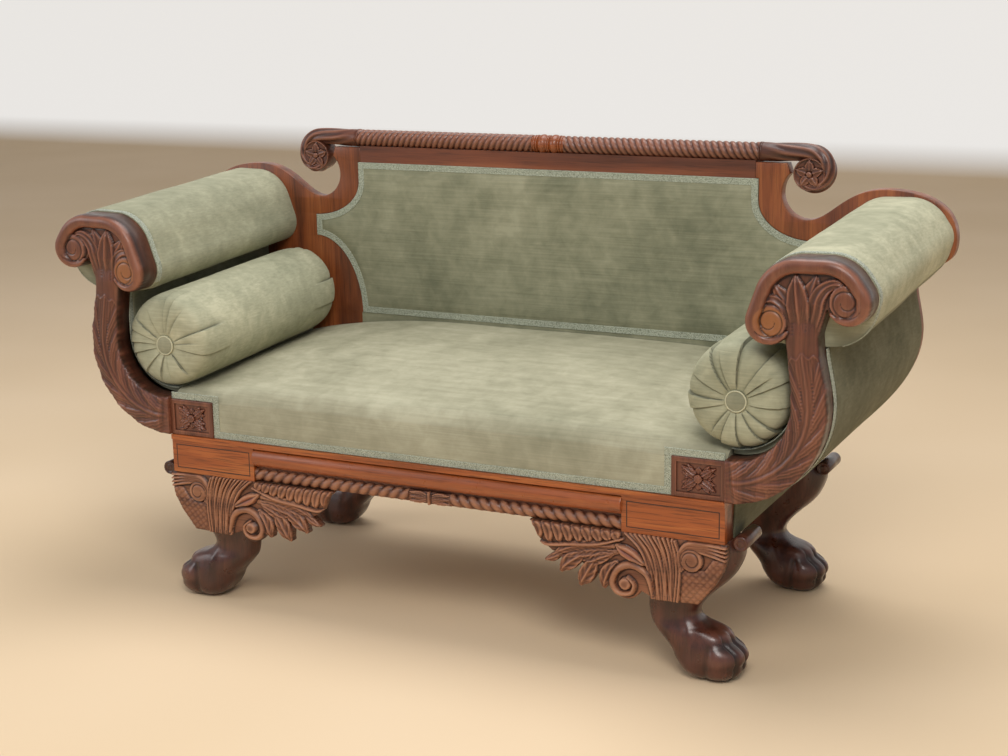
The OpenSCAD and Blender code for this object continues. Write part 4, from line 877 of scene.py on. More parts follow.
def wing_height(X, Z):
    c = Carving(X, Z)
    c.H[:] = 0.5
    for line, half, high, veins in WING_LEAVES:
        c.leaf(line, half, high * 0.8, 0.8, veins, rib=0.3, hollow=0.22)
    # upper row of ribs, slanting like the fold of a wing, with a band under it
    for i in range(9):
        x0 = 222 + 19.6 * i
        low = np.interp(x0, [210, 235, 292, 344, 395], [240, 229, 235, 242, 256])
        c.leaf([(x0 - 5, 265), (x0 + 4, 252), (x0 + 7, low)], [5, 9, 9.4, 7.5, 3], 7.5, 0.5, 0,
               rib=-0.1, hollow=-0.15)
    c.rod([(214, 240), (240, 224), (292, 230), (344, 237), (392, 253)], [2, 3.6, 3.6, 3.2, 2], 6.5,
          1.5, stretch=6)
    # teardrop
    c.leaf([(380, 240), (394, 232), (414, 222), (438, 209)], [3, 10, 10.5, 7, 1], 9.5, 1.0, 0,
           rib=-0.1, hollow=-0.2, gap=1.8)
    # wavy strands, like hair, falling to the leg
    for i in range(11):
        k = i / 10
        wave = 1.6 * math.sin(2.4 * i)
        c.rod([(396 + 88 * k, 266), (424 + 66 * k + wave, 240), (439 + 55 * k, 208),
               (444 + 50 * k - wave, 178), (448 + 46 * k, 148)], [2.6, 3.3, 3.4, 3.0, 2.8],
              6.0 + 0.8 * math.cos(2.4 * i), 1.0, 1.2, stretch=8)
    for k in (0, 5.5):
        c.rod([(484 + k, 262), (492 + k, 236), (494 + k, 200), (490 + k, 150)], [2.2, 2.8, 3, 2.4],
              7.6, 1.0, 1.2, stretch=6)
    # scales under the second curl
    q, r = (X + 1.25 * Z) / 15.0, (X - 0.85 * Z) / 12.0
    scale = 2.6 + 1.3 * np.abs(np.sin(np.pi * q)) ** 0.6 * np.abs(np.sin(np.pi * r)) ** 0.6
    zone = polygon_sd(np.array([(500, 210), (545, 214), (560, 236), (585, 238), (585, 216),
                                (562.8, 186), (533, 149), (500, 149)]), X, Z)
    c.H = np.where(zone > 0, np.maximum(c.H, scale + np.clip(zone / 8, 0, 1) * 2), c.H)
    # ribbed leaf that winds round the second curl
    for k in range(4):
        c.rod([(500 + 3 * k, 206 + 3 * k), (497 + 4.5 * k, 236), (512 + 2 * k, 259 - 3.5 * k),
               (545, 262 - 5 * k), (583, 260 - 7.5 * k)], [2, 3.6, 4, 3.8, 2.2], 6.5, 1.5, 1.0,
              stretch=6)
    disc = np.hypot(X - CURL_2[0], Z - CURL_2[1])
    c.boss(disc, 20, 6, 4.0, 2.0)
    c.groove(spiral(CURL_2, 17.5, 8.0, 190, -400, 50), 1.1, 2.6)
    # the first curl: a broad band over it that winds into a round boss
    c.rod(BAND_1_PATH, BAND_1[:, 2], 9.0, 1.5, 2.0, stretch=8)
    disc = np.hypot(X - CURL_1[0], Z - CURL_1[1])
    c.boss(disc, 10.5, 9.0, 3.0, 2.0)
    return c.H


v, f, at = relief((190, 140), (592, 267), 1.4, wing_inside, wing_height, 1.0, 13.9, 1.6)
drop = np.clip(1 - np.hypot((v[:, 0] - 402) / 22, (v[:, 2] - 228) / 12), 0, 1)
at["tint"] = np.clip(drop * 3, 0, 0.8)
pair("bracket", v, f, M_CARVED_X, ["bracket"], attrs=at, slot="light_mahogany")


# ---------------------------------------------------------------- rosette blocks
ROSE_X, ROSE_Z = 530.5, DECK_Z + 36


def rose_inside(X, Z, margin=0.0):
    return np.minimum(49.5 - margin - np.abs(X - ROSE_X), 36.0 - margin - np.abs(Z - ROSE_Z))


def rose_height(X, Z):
    c = Carving(X, Z)
    c.H = np.where(rose_inside(X, Z, 9.0) > 0, -3.0, 0.0)
    middle = np.array([ROSE_X, ROSE_Z])
    for k in (0, 90, 180, 270):
        d, long = way(k), 24 if k % 180 == 0 else 20
        c.leaf([middle + d * 5, middle + d * long * 0.6, middle + d * long], [3, 6, 6, 1], 3.6,
               -3.0, 0, gap=0.5)
    for k in (34, 146, 214, 326):
        d = way(k)
        n = np.array([-d[1], d[0]])
        for hand in (-1, 1):
            c.leaf([middle + d * 8, middle + d * 20 + n * hand * 5, middle + d * 30 + n * hand * 9],
                   [2, 5, 4.5, 1], 4.0, -3.0, 0, gap=0.5)
        c.leaf([middle + d * 5, middle + d * 22, middle + d * 36], [4, 8, 7, 4, 1], 5.4, -3.0, 5,
               gap=0.9)
    d = np.hypot(X - ROSE_X, Z - ROSE_Z)
    c.boss(d, 7.5, 1.5, 2.0, 1.2)
    for k in range(8):
        c.dot(*(middle + 5.2 * way(45 * k)), 1.1, -1.2)
    return c.H


v, f, at = relief((480, 342), (581, 416), 0.9, rose_inside, rose_height, 0.0, 46.0, 1.0)
pair("rosette_block", v, f, M_CARVED, ["rosette_block"], attrs=at, slot="mahogany", crisp=50)


# ---------------------------------------------------------------- mouldings of the rail
ROPE_R, ROPE_PITCH, ROPE_Z = 12.5, 21.5, RAIL_Z + 12.5
MOULDING_Y = 12.0      # the plane behind the mouldings
FRONT_ARC = np.radians(np.linspace(90, -90, 30))


def ring_across(x, centre, r, a, hand=1):
    """A ring about a line that runs across; hand -1 has its angles start towards the front."""
    return np.stack([np.full(len(a), x), centre[0] + hand * r * np.cos(a),
                     centre[1] + r * np.sin(a)], 1)


def rope(x0, x1):
    """Half of the rope moulding: a half round cut by slanting hollows."""
    rows, cav = [], []
    for x in np.linspace(x0, x1, int((x1 - x0) / 1.5)):
        wave = np.abs(np.sin(FRONT_ARC + math.pi * x / ROPE_PITCH)) ** 0.7
        r = ROPE_R - 3.8 * (1 - wave)
        rows.append(ring_across(x, (MOULDING_Y, ROPE_Z), r, FRONT_ARC, -1))
        cav.append(wave * 1.5 - 0.85)
    return tube(rows), {"cav": np.clip(np.concatenate(cav), -1, 1)}


(v, f), at = rope(44.0, 388.0)
pair("rope_moulding", v, f, M_CARVED_X, ["rope_moulding"], attrs=at, slot="light_mahogany",
     crisp=60)


def centre_leaf_height(X, Z):
    c = Carving(X, Z)
    c.H = 6.0 * np.sqrt(np.clip(1 - ((Z - ROPE_Z) / ROPE_R) ** 2, 0, 1))
    for hand in (-1, 1):
        for dz in (7.5, -7.5, 0):
            c.leaf([[hand * 3, ROPE_Z + dz * 0.2], [hand * 20, ROPE_Z + dz * 0.9],
                    [hand * 42, ROPE_Z + dz * 1.1]], [3, 5, 4.5, 3, 0.8], 4.0, 5.0, 6, gap=0.8)
    c.rod([[0, ROPE_Z - 11], [0, ROPE_Z + 11]], [2.5, 4, 2.5], 6, 5.0)
    return c.H


v, f, at = relief((-44, 266), (44, 291), 0.9,
                  lambda X, Z: np.minimum(44 - np.abs(X), ROPE_R - 0.1 - np.abs(Z - ROPE_Z)),
                  centre_leaf_height, 9.0, MOULDING_Y, 1.0)
o = make("rope_centre_leaf_look", v, f, M_CARVED_X, attrs=at, slot="light_mahogany")
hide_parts("rope_centre_leaf")

ROUND_R, ROUND_END = 19.0, 388
rows, a = [], np.radians(np.linspace(90, -90, 33))
for x in np.concatenate([[-ROUND_END, -387.4], np.linspace(-386, 386, 194), [387.4, ROUND_END]]):
    r = (ROUND_R - (0.5 if abs(x) > 387.5 else 0) + 0.12 * math.sin(x / 47)
         + 0.1 * math.sin(x / 13.0))
    rows.append(ring_across(x, (MOULDING_Y, RAIL_TOP - 19.2), r, a, -1))
v, f = tube(rows)
o = make("half_round_look", v, f, M_ROUND, slot="light_mahogany", crisp=50)
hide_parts("half_round_moulding")


# ---------------------------------------------------------------- legs with lion's paws
LEG_X, LEG_W, LEG_T, LEG_MIDDLE = 423.0, 183.0, 80.0, 40.0
LEG_FRONT, LEG_APART = 14.0, 501       # y of the front legs' faces, and on to the rear legs
# the turned roll at the top, outer corner: its middle, and radius and y along it
ROLL_AT = (603.3, 266)
ROLL = ((2, 1.2), (5, 0.4), (6.5, 1.6), (8, 1.8), (9.5, 0.3), (12.3, 0.2), (13.5, 1.6),
        (13.5, 78.4), (12.3, 79.8), (9.5, 79.7), (8, 78.2), (6.5, 78.4), (5, 79.6), (2, 78.8))
# height, inner edge, outer edge and half depth, as shares
LEG = np.array([
    [0.000, 0.500, 0.850, 0.330], [0.034, 0.412, 0.915, 0.500], [0.075, 0.350, 0.960, 0.590],
    [0.132, 0.290, 0.985, 0.615], [0.188, 0.251, 0.968, 0.600], [0.233, 0.197, 0.925, 0.575],
    [0.271, 0.142, 0.868, 0.545], [0.308, 0.093, 0.808, 0.515], [0.338, 0.055, 0.740, 0.480],
    [0.365, 0.033, 0.628, 0.440], [0.406, 0.016, 0.536, 0.405], [0.459, 0.005, 0.514, 0.400],
    [0.534, 0.005, 0.579, 0.430], [0.609, 0.016, 0.683, 0.465], [0.714, 0.038, 0.842, 0.495],
    [0.820, 0.071, 0.934, 0.500], [0.921, 0.120, 0.967, 0.500], [1.000, 0.158, 0.913, 0.500]])


def bell(x, middle, width):
    return np.exp(-((x - middle) / width) ** 2)


def leg_mesh(y0):
    """The leg as one carved body: a swept core with toes, knuckles, pads and tendons."""
    rows = smooth_line(LEG, 12)
    a = np.radians(np.arange(0, 360, 2.0))
    ca, sa = np.cos(a), np.sin(a)
    px, py = (np.sign(q) * np.abs(q) ** 0.72 for q in (ca, sa))
    rings, cav = [], []
    for s in rows:
        lo, hi, b, z = LEG_X + LEG_W * s[1], LEG_X + LEG_W * s[2], LEG_T * s[3], RAIL_Z * s[0]
        x, y = (lo + hi) / 2 + (hi - lo) / 2 * px, LEG_MIDDLE + b * py
        side = (y - LEG_MIDDLE) / b
        # share of being a toe: low down, and towards the outer end
        low = np.clip((100 - z) / 16, 0, 1)
        ahead = np.clip((x - 528) / 22, 0, 1) * low
        spread = np.clip(np.abs(side), 0, 1)
        between = np.minimum(np.abs(side), np.abs(np.abs(side) - 0.56))
        groove = 7.5 * np.exp(-(between / 0.085) ** 2) * ahead * np.clip((94 - z) / 20, 0, 1)
        groove = groove * (0.45 + 0.55 * np.clip((x - 548) / 30, 0, 1))
        # knuckles and the hollows between them, from the top
        knuckles = (4.2 * bell(z, 84, 8) + 3.4 * bell(z, 50, 12) + 1.2 * bell(z, 18, 8)
                    - 4.4 * bell(z, 67, 7) - 2.6 * bell(z, 30, 6)) * ahead * (1 - 0.3 * spread)
        x = x + (knuckles - groove) * np.clip(ca + 0.35, 0, 1)
        # the sides: a toe lies along the edge, with a crease behind it and a tendon above
        flank = np.clip(np.abs(sa) * 1.6 - 0.7, 0, 1) * low
        crease = bell(x, 541 + 0.10 * z, 5.0) * np.clip((74 - z) / 14, 0, 1)
        toe = bell(x, 566, 17) * (0.8 + bell(z, 46, 16)) - 0.5 * bell(x, 592, 6)
        heel = bell(x, 512, 16) * bell(z, 26, 18)
        bulge = (2.2 * toe + 2.2 * heel - 4.2 * crease) * flank
        tendon = (bell(x, 505 + 0.25 * (100 - z), 7) * bell(z, 84, 26)
                  * np.clip(np.abs(sa) * 2 - 1, 0, 1))
        y = y + np.sign(side) * (bulge + 2.2 * tendon)
        rings.append(np.stack([x, y, np.full(len(a), z)], 1))
        cav.append(np.clip((knuckles + bulge - groove) / 4.5, -1, 0.8))
    roll = [at_depth(about(ROLL_AT, np.arange(0, 360, 6), r), y) for r, y in ROLL]
    v, f = join([tube(rings), tube(roll)])
    v[:, 1] += y0
    v[:, 2] = np.maximum(v[:, 2], 0.2)
    v[:, 2] = np.minimum(v[:, 2], np.where(v[:, 0] < 588, RAIL_Z - 0.3, 300))
    cav = np.concatenate(cav)
    return v, facing_out(v, f), {"cav": np.pad(cav, (0, len(v) - len(cav)))}


v, f, at = leg_mesh(LEG_FRONT)
for name, back in (("leg_front", 0), ("leg_rear", LEG_APART)):
    pair(name, v + [0, back, 0], f, M_FEET, [name], slot="dark_mahogany", attrs=at, crisp=75)


# ---------------------------------------------------------------- back boards
def mitres(p):
    """At each corner of a closed outline, the way that moves both its sides out by one."""
    a, b = p - np.roll(p, 1, 0), np.roll(p, -1, 0) - p
    a /= np.linalg.norm(a, axis=1)[:, None]
    b /= np.linalg.norm(b, axis=1)[:, None]
    na, nb = np.stack([a[:, 1], -a[:, 0]], 1), np.stack([b[:, 1], -b[:, 0]], 1)
    return (na + nb) / np.maximum(1 + (na * nb).sum(1), 0.35)[:, None]


def plate(outline, y0, y1, bevel):
    """A board cut to an outline, with its arrises rounded."""
    p = np.asarray(outline, float)
    n = len(p)
    area = 0.5 * np.sum(p[:, 0] * np.roll(p[:, 1], -1) - np.roll(p[:, 0], -1) * p[:, 1])
    out = mitres(p) * np.sign(area)
    rings = []
    for y, hand, turns in ((y0, 1, (0, 30, 60, 90)), (y1, -1, (90, 60, 30, 0))):
        for g in map(math.radians, turns):
            rings.append(at_depth(p - out * bevel * (1 - math.sin(g)),
                                  y + hand * bevel * (1 - math.cos(g))))
    v = np.vstack(rings)
    faces = grid_faces(len(rings), n, True)
    tris = tessellate_polygon([[Vector((q[0], q[2], 0)) for q in rings[0]]])
    faces += [list(t) for t in tris] + [[i + len(v) - n for i in t] for t in tris]
    return v, facing_out(v, faces)


PANEL_W, PANEL_Z, PANEL_TOP, EAR_W, EAR_TOP = 452.0, 498.0, 829.0, 111.0, 711.0
HALF_PANEL = np.vstack([
    [PANEL_W + EAR_W, PANEL_Z] + arc((0, 0), 1, 180, 90, 16) * [EAR_W, EAR_TOP - 46 - PANEL_Z],
    [PANEL_W + EAR_W, EAR_TOP + 76] + arc((0, 0), 1, 270, 180, 16) * [EAR_W, 76],
    [[PANEL_W, PANEL_TOP]]])
DIP_C, DIP_R = np.array([PANEL_W + 98, PANEL_TOP - 26]), 51.0
BOARD_TOP = 860.6
SHOULDER, FAR = np.array([705.0, 818.0]), np.array([839.0, 729.0])
REAR_OUT, REAR_NECK = np.array([778.0, 548.0]), 764.0


def under_roll(point, share):
    """A point moved up or down until it lies just under the roll."""
    c = circles(share)
    p = np.array(point, float)
    d = about((0, 0), np.arange(180, 360, 5), 1)
    reach = (d @ c[:, :2].T + c[:, 2]).max(1)
    for _ in range(12):
        p[1] += np.max(d @ p - reach) - 3.4
    return p


REAR_TOP = under_roll([REAR_NECK, NECK_Z + RISE], 1.0)
REAR_THIRD = (REAR_TOP[1] - REAR_OUT[1]) / 3
REAR_PATH = np.vstack([
    bez([POST_X + 0.3, 269.0], [659.2, 363], [REAR_OUT[0], DECK_Z + 205 * 0.46], REAR_OUT, 22),
    bez(REAR_OUT, REAR_OUT + [0, REAR_THIRD], [REAR_NECK, REAR_TOP[1] - REAR_THIRD],
        REAR_TOP, 12)[1:]])
# the board's outline: up the panel's side, over the dip, shoulder and far end, down the arm
board = np.vstack([
    [[455, RAIL_Z], [455, PANEL_Z - 0.2]], HALF_PANEL[:-1] + [0.3, 0],
    [[452.3, PANEL_TOP], [446, PANEL_TOP + 0.3], [446, BOARD_TOP], [DIP_C[0] - 40.8, BOARD_TOP]],
    arc(DIP_C, DIP_R, 132, 270, 28),
    bez(DIP_C + [0, -DIP_R], DIP_C + [46, -DIP_R], SHOULDER - [82, 0], SHOULDER, 16)[1:],
    bez(SHOULDER, SHOULDER + [78, 0], FAR + [0, 62], FAR, 16)[1:],
    bez(FAR, FAR - [0, 40], FAR - [16, 50], [REAR_NECK + 6, FAR[1] - 57], 12)[1:],
    REAR_PATH[::-1], [[POST_X + 0.3, RAIL_Z + 0.3]]])
v, f = plate(board, SEAT_DEPTH, BACK_Y, 2.0)
pair("back_board", v, f, M_FRAME_Z, ["back_board"], slot="mahogany", crisp=40)


# ---------------------------------------------------------------- crest rail
CREST = CREST_Y, CREST_Z = 556.0, 880.0
TWIST_R, TWIST_PITCH, TWIST_FROM, TWIST_TO = 18.5, 54, 36, 452
AROUND = np.radians(np.arange(0, 360, 5.0))
rows, cav = [], []
for x in np.linspace(TWIST_FROM, TWIST_TO, 330):
    turn = 2 * math.pi * (x - TWIST_FROM) / TWIST_PITCH
    wave = np.abs(np.sin(2 * (AROUND - turn))) ** 0.62
    rows.append(ring_across(x, CREST, TWIST_R - 3.6 * (1 - wave), AROUND))
    cav.append(np.clip(1.5 * wave - 0.8, -1, 1))
collar = [ring_across(x, CREST, r, AROUND) for x, r in (
    (451, 18.9), (451.2, 19.2), (453.6, 19.2), (454.4, 17.2), (455.2, 19.1), (456.8, 19.1),
    (457.9, 17.6), (458, 17.0))]
v, f = join([tube(rows), tube(collar)])
cav = np.concatenate(cav)
pair("crest_twist", v, facing_out(v, f), M_CREST, ["crest_twist"],
     attrs={"cav": np.pad(cav, (0, len(v) - len(cav)))}, slot="mahogany", crisp=60)

# the turned middle: radius and place along it, as shares of its sizes
CENTRE = np.array([[0.44, 0], [0.50, 0.02], [0.50, 0.08], [0.43, 0.11], [0.47, 0.17],
                   [0.53, 0.27], [0.545, 0.38], [0.52, 0.49], [0.46, 0.58], [0.42, 0.62],
                   [0.50, 0.66], [0.50, 0.72], [0.43, 0.76], [0.49, 0.81], [0.49, 0.88],
                   [0.44, 0.93], [0.44, 1]])
half = smooth_line(CENTRE, 4) * [37, TWIST_FROM]
profile = np.vstack([half[::-1] * [1, -1], half[1:]])
v, f = skin([ring_across(x, CREST, min(r, 20.2), AROUND) for r, x in profile])
o = make("crest_centre_look", v, f, M_ROUND, slot="light_mahogany", crisp=50)
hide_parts("crest_centre")

EYE = np.array([555.0, 841.0])
# sections of the scroll: x, z, the way it is turned, half height and half depth
scroll = [[458 + 68 * t, CREST_Z + t, 90, TWIST_R * (1 - 0.02 * t), TWIST_R + 3.5 * t]
          for t in (0, 0.35, 0.7)]
for i in range(10):
    g, t = 100 - 26 * i, i / 9
    scroll.append([*(EYE + (41 - 17 * t) * way(g)), g, 18 - 9 * t, 22])
scroll = smooth_line(scroll, 7)
rings, cav = [], []
for i, (x, z, g, high, deep) in enumerate(scroll):
    t = i / (len(scroll) - 1)
    wave = np.cos(7 * AROUND + 9 * t * math.pi)
    depth = 1.1 * min(1, 6 * t) * min(1, 3 * (1 - t) + 0.2)
    u = (high - depth + depth * wave) * np.cos(AROUND)
    w = (deep - depth + depth * wave) * np.sin(AROUND)
    rings.append(np.stack([x + u * way(g)[0], CREST_Y + w, z + u * way(g)[1]], 1))
    cav.append(0.6 * wave * min(1, 6 * t))
scroll = skin(rings)


def eye_height(X, Z):
    c = Carving(X, Z)
    for k in range(5):
        d = way(18 + 72 * k)
        c.leaf([EYE + d * 5, EYE + d * 15, EYE + d * 27], [3, 8.5, 9, 6, 1.5], 3.6, 0.5, 0, gap=0.9)
    d = np.hypot(X - EYE[0], Z - EYE[1])
    c.boss(d, 5.5, 3, 2, 1.0)
    c.H = c.H + 2.2 * np.exp(-((d - 30) / 1.6) ** 2)
    return c.H


eye_v, eye_f, at = relief((520, 806), (590, 876), 1.2,
                          lambda X, Z: 32 - np.hypot(X - EYE[0], Z - EYE[1]), eye_height,
                          CREST_Y - 19.0, CREST_Y + 19.5, 1.5)
v, f = join([scroll, (eye_v, eye_f)])
pair("crest_scroll", v, f, M_CREST, ["crest_scroll"],
     attrs={"cav": np.concatenate([*cav, at["cav"]])}, slot="mahogany", crisp=60)


# ---------------------------------------------------------------- soft pieces
def lump(p, size, amount, seed=0.0):
    """A slow unevenness over points, the same at each run."""
    q = np.asarray(p, float) / size
    return amount * (np.sin(q[:, 0] * 1.7 + seed + 1.3 * np.sin(q[:, 1] * 1.1 + seed))
                     + np.sin(q[:, 1] * 1.9 + 2.1 + 1.2 * np.sin(q[:, 2] * 1.3 + seed * 2))
                     + np.sin(q[:, 2] * 2.3 + 0.7 + 1.1 * np.sin(q[:, 0] * 0.9 + 4 + seed))) / 3


# the seat: crowned, rounded over at the front, cut round the rosette blocks
SEAT_W, SEAT_F, SEAT_B, SEAT_LOW = 578.0, 5.0, 540.0, DECK_Z + 0.2
SEAT_ROUND = 34         # how far back its front edge is rounded, and how far that drops


def seat_top(x, y):
    near = np.minimum(1, (y - SEAT_F) / SEAT_ROUND)
    edge = DECK_Z + 87 + RISE * 0.85 * np.maximum(0, arm_share(y))
    crown = 40 * (1 - (x / SEAT_W) ** 4) * (0.35 + 0.65 * np.minimum(1, (y - SEAT_F) / 250))
    return edge + crown - SEAT_ROUND * 0.75 * (1 - near) ** 2.2


def seat_mesh():
    """The seat as rings from front to back: crowned top, straight sides, flat bottom."""
    xs = np.linspace(-SEAT_W, SEAT_W, 191)
    shares = np.concatenate([np.linspace(0, 0.07, 16)[:-1], np.linspace(0.07, 1, 82)])
    rows = []
    for y in SEAT_F + (SEAT_B - SEAT_F) * shares:
        top = np.stack([xs, np.full(len(xs), y), seat_top(xs, y)], 1)
        top[:, 2] += lump(top, 95, 2.2) * np.minimum(1, (y - SEAT_F) / 60) - 1.0
        right = [[SEAT_W, y, z] for z in np.linspace(top[-1][2], SEAT_LOW, 9)[1:]]
        bottom = [[x, y, SEAT_LOW] for x in np.linspace(SEAT_W, -SEAT_W, 25)[1:]]
        left = [[-SEAT_W, y, z] for z in np.linspace(SEAT_LOW, top[0][2], 9)[1:-1]]
        rows.append(np.vstack([top, right, bottom, left]))
    return skin(rows)


def cut_box(obj, low, high):
    """Cuts a box of CAD millimetres out of a piece."""
    bm = bmesh.new()
    bmesh.ops.create_cube(bm, size=1)
    size = [(b - a) / 1000 for a, b in zip(low, high)]
    mid = [(a + b) / 2000 for a, b in zip(low, high)]
    for q in bm.verts:
        q.co = Vector((q.co.x * size[0] + mid[0], q.co.y * size[1] + mid[1] - MIDDLE_Y / 1000,
                       q.co.z * size[2] + mid[2]))
    me = bpy.data.meshes.new("cut")
    bm.to_mesh(me)
    bm.free()
    tool = bpy.data.objects.new("cut", me)
    scene.collection.objects.link(tool)
    m = obj.modifiers.new("cut", "BOOLEAN")
    m.operation, m.object, m.solver = "DIFFERENCE", tool, "EXACT"
    new = bpy.data.meshes.new_from_object(obj.evaluated_get(bpy.context.evaluated_depsgraph_get()))
    obj.modifiers.clear()
    obj.data = new
    bpy.data.objects.remove(tool)


BLOCK_IN, BLOCK_OUT, BLOCK_B = 480.8, 584, 46.3      # room for the blocks, and its depth


def round_blocks(obj, inner, low, high):
    """Cuts room for both rosette blocks out of a piece."""
    for hand in (-1, 1):
        lo, hi = sorted((hand * inner, hand * BLOCK_OUT))
        cut_box(obj, (lo, -4, low), (hi, BLOCK_B, high))


v, f = seat_mesh()
# painted shade on its front edge, darkest low down where it meets the rail
soil = np.clip(1.0 - (v[:, 2] - DECK_Z) / 12, 0, 0.25) * (v[:, 1] < 60)
soil = np.maximum(soil, 0.2 * np.clip((SEAT_F + SEAT_ROUND - v[:, 1]) / 30, 0, 1))
seat = make("seat_look", v, f, M_VELVET, attrs={"soil": soil}, slot="velvet", crisp=70)
round_blocks(seat, BLOCK_IN, 340, BLOCK_TOP + 0.3)
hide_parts("seat_pad")


BRAID_W, BRAID_STEP = 14.0, 1.7
PAD_F, PAD_B = 539.5, 569.6        # faces of the back pad
full = np.vstack([HALF_PANEL, HALF_PANEL[::-1] * [-1, 1]])


def grown(p, g):
    """A closed outline moved out by g."""
    return p + g * mitres(p)


def soft_plate(outline, y_front, y_back, crown, cell, lip):
    """An upholstered panel: crowned to the front, with a lower margin for the braid."""
    def inside(X, Z):
        return polygon_sd(outline, X, Z)

    def height(X, Z):
        past = np.maximum(inside(X, Z) - BRAID_W - 0.5, 0)
        p = np.stack([X, np.zeros(len(X)), Z], 1)
        return crown * (1 - np.exp(-past / 26)) - 1.9 * np.exp(-past / 3) \
            + lump(p, 70, 0.6) * np.clip(past / 30, 0, 1)

    return relief(outline.min(0) - 1, outline.max(0) + 1, cell, inside, height, y_front, y_back,
                  lip)


v, f, at = soft_plate(grown(full, -0.4), PAD_F, PAD_B, 4.5, 5.0, 3.0)
back = make("back_look", v, f, M_VELVET_SHADED, slot="velvet", crisp=70)
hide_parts("back_pad")


# rolls of the arms
SOFT_F, SOFT_B = 44.6, 541.2       # from the carved fronts' braid to the back boards
ROLL_MIDDLE = np.array([722, 290, 712])


def roll_rings(grow, y0, y1, n):
    return np.array([at_depth(hull_line(circles(arm_share(y)), grow, 358, 0, 179), y)
                     for y in np.linspace(y0, y1, n)])


outer = roll_rings(3.0, SOFT_F, SOFT_B, 84)
shape = outer.reshape(-1, 3)
away = shape - ROLL_MIDDLE
away[:, 1] = 0
away /= np.linalg.norm(away, axis=1)[:, None]
ends = np.minimum(1, np.minimum(shape[:, 1] - SOFT_F, SOFT_B - shape[:, 1]) / 60)
shape = shape + away * (lump(shape, 70, 1.2, 2.0) * ends)[:, None]
fold = 1.5 * np.maximum(0, 1 - (shape[:, 1] - SOFT_F) / 7) ** 2
outer = (shape - away * fold[:, None]).reshape(outer.shape)
# its front is drawn in under the braid and closed behind the carved scroll
outer = np.concatenate([roll_rings(1.0, ARM_Y - 0.05, SOFT_F - 0.2, 4), outer])
inner = roll_rings(-8.7, ARM_Y - 0.02, SOFT_B, 24)
v = np.vstack([outer.reshape(-1, 3), inner.reshape(-1, 3)])
m = outer.shape[1]
f = grid_faces(len(outer), m, True)
base = len(outer) * m
f += [[i + base for i in q][::-1] for q in grid_faces(len(inner), m, True)]
f += [list(range(m)), list(range(base, base + m))]
e0, e1 = (len(outer) - 1) * m, base + (len(inner) - 1) * m
f += [[e0 + j, e0 + (j + 1) % m, e1 + (j + 1) % m, e1 + j] for j in range(m)]
# painted shade under the outer side, as dark as the outer cover's velvet
under = HIGH_C[1] - VOLUTE_R - 3 + RISE * (v[:, 1] - ARM_Y) / (ARM_END - ARM_Y)
wear_and_shade = np.clip((under - v[:, 2]) / 3, 0, 1) * np.clip((v[:, 0] - 716) / 12, 0, 1)
rolls = pair("arm_roll", v, facing_out(v, f), M_VELVET_LIT, ["arm_roll_cover"], slot="velvet",
             crisp=70, attrs={"soil": 0.62 * wear_and_shade})
# painted shade over all of the left one
rolls[1].data.attributes["soil"].data.foreach_set("value", np.maximum(0.62 * wear_and_shade, 0.16))


# inner pads and outer covers of the arms
def wall_mesh(path_at, thick):
    """A wall of even thickness along the arm, to the right of a path given for each y."""
    rows = []
    for y in np.linspace(SOFT_F, SOFT_B, 60):
        line = path_at(y)
        rows.append(at_depth(np.vstack([line, shifted(line, -thick)[::-1]]), y))
    return skin(rows)


CRADLE, CRADLE_R = np.array([INNER_C[0] + 1, DECK_Z + 188]), 99
CRADLE_RISE = np.array([SPREAD, RISE * 0.85])


def inner_path(y):
    """The inner pad's face: round under the bolster, then straight up to the roll."""
    share = arm_share(y)
    c = CRADLE + CRADLE_RISE * share
    start = c + [CRADLE_R, 0]
    top = under_roll(c + [CRADLE_R, CRADLE_R], share)
    return np.vstack([arc(c, CRADLE_R, -96, 0, 40),
                      [start + (top - c - [CRADLE_R, 0]) * k for k in (0.25, 0.5, 0.75, 1)]])


v, f = wall_mesh(inner_path, 14)
# painted highlight along the inner pad's front edge, and no painted shade
edge = {"pale": 0.85 * (v[:, 1] < 45), "soil": np.zeros(len(v))}
for o in pair("arm_inner", v, f, M_VELVET_SHADED, ["arm_inner_pad"], slot="velvet", crisp=60,
              attrs=edge):
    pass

FRONT_TOP = under_roll([NECK_OUT + 3, NECK_Z], 0.0)
FRONT_THIRD = (FRONT_TOP[1] - SWEEP_C[1]) / 3
FRONT_PATH = resample(np.vstack([
    [[POST_X, RAIL_Z + 0.3]], arc(SWEEP_C, SWEEP_R, -90, 0, 30),
    bez(SWEEP_C + [SWEEP_R, 0], SWEEP_C + [SWEEP_R, FRONT_THIRD], FRONT_TOP - [-3, FRONT_THIRD],
        FRONT_TOP, 20)[1:]]), 6)
FRONT_EVEN, REAR_EVEN = even(FRONT_PATH, 90), even(resample(REAR_PATH, 6), 90)


def outer_path(y):
    """The outer cover's face: between the lines of the carved front and the board behind."""
    share = arm_share(y)
    p = FRONT_EVEN * (1 - share) + REAR_EVEN * share
    p[-1] = under_roll(p[-1], share)
    return p


v, f = wall_mesh(outer_path, 2.6)
for o in pair("arm_outer", v, f, M_VELVET_NAP_SHADED, ["arm_outer_cover"], slot="velvet", crisp=60):
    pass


def matched(a, b):
    """Two lines with the same corners, as lines with matching points a step apart."""
    lines = [], []
    for j in range(len(a) - 1):
        n = max(1, int(round(np.linalg.norm(a[j + 1] - a[j]) / BRAID_STEP)))
        t = np.linspace(0, 1, n, endpoint=False)[:, None]
        for line, p in zip(lines, (a, b)):
            line.append(p[j] * (1 - t) + p[j + 1] * t)
    return [np.vstack(line + [p[-1:]]) for line, p in zip(lines, (a, b))]


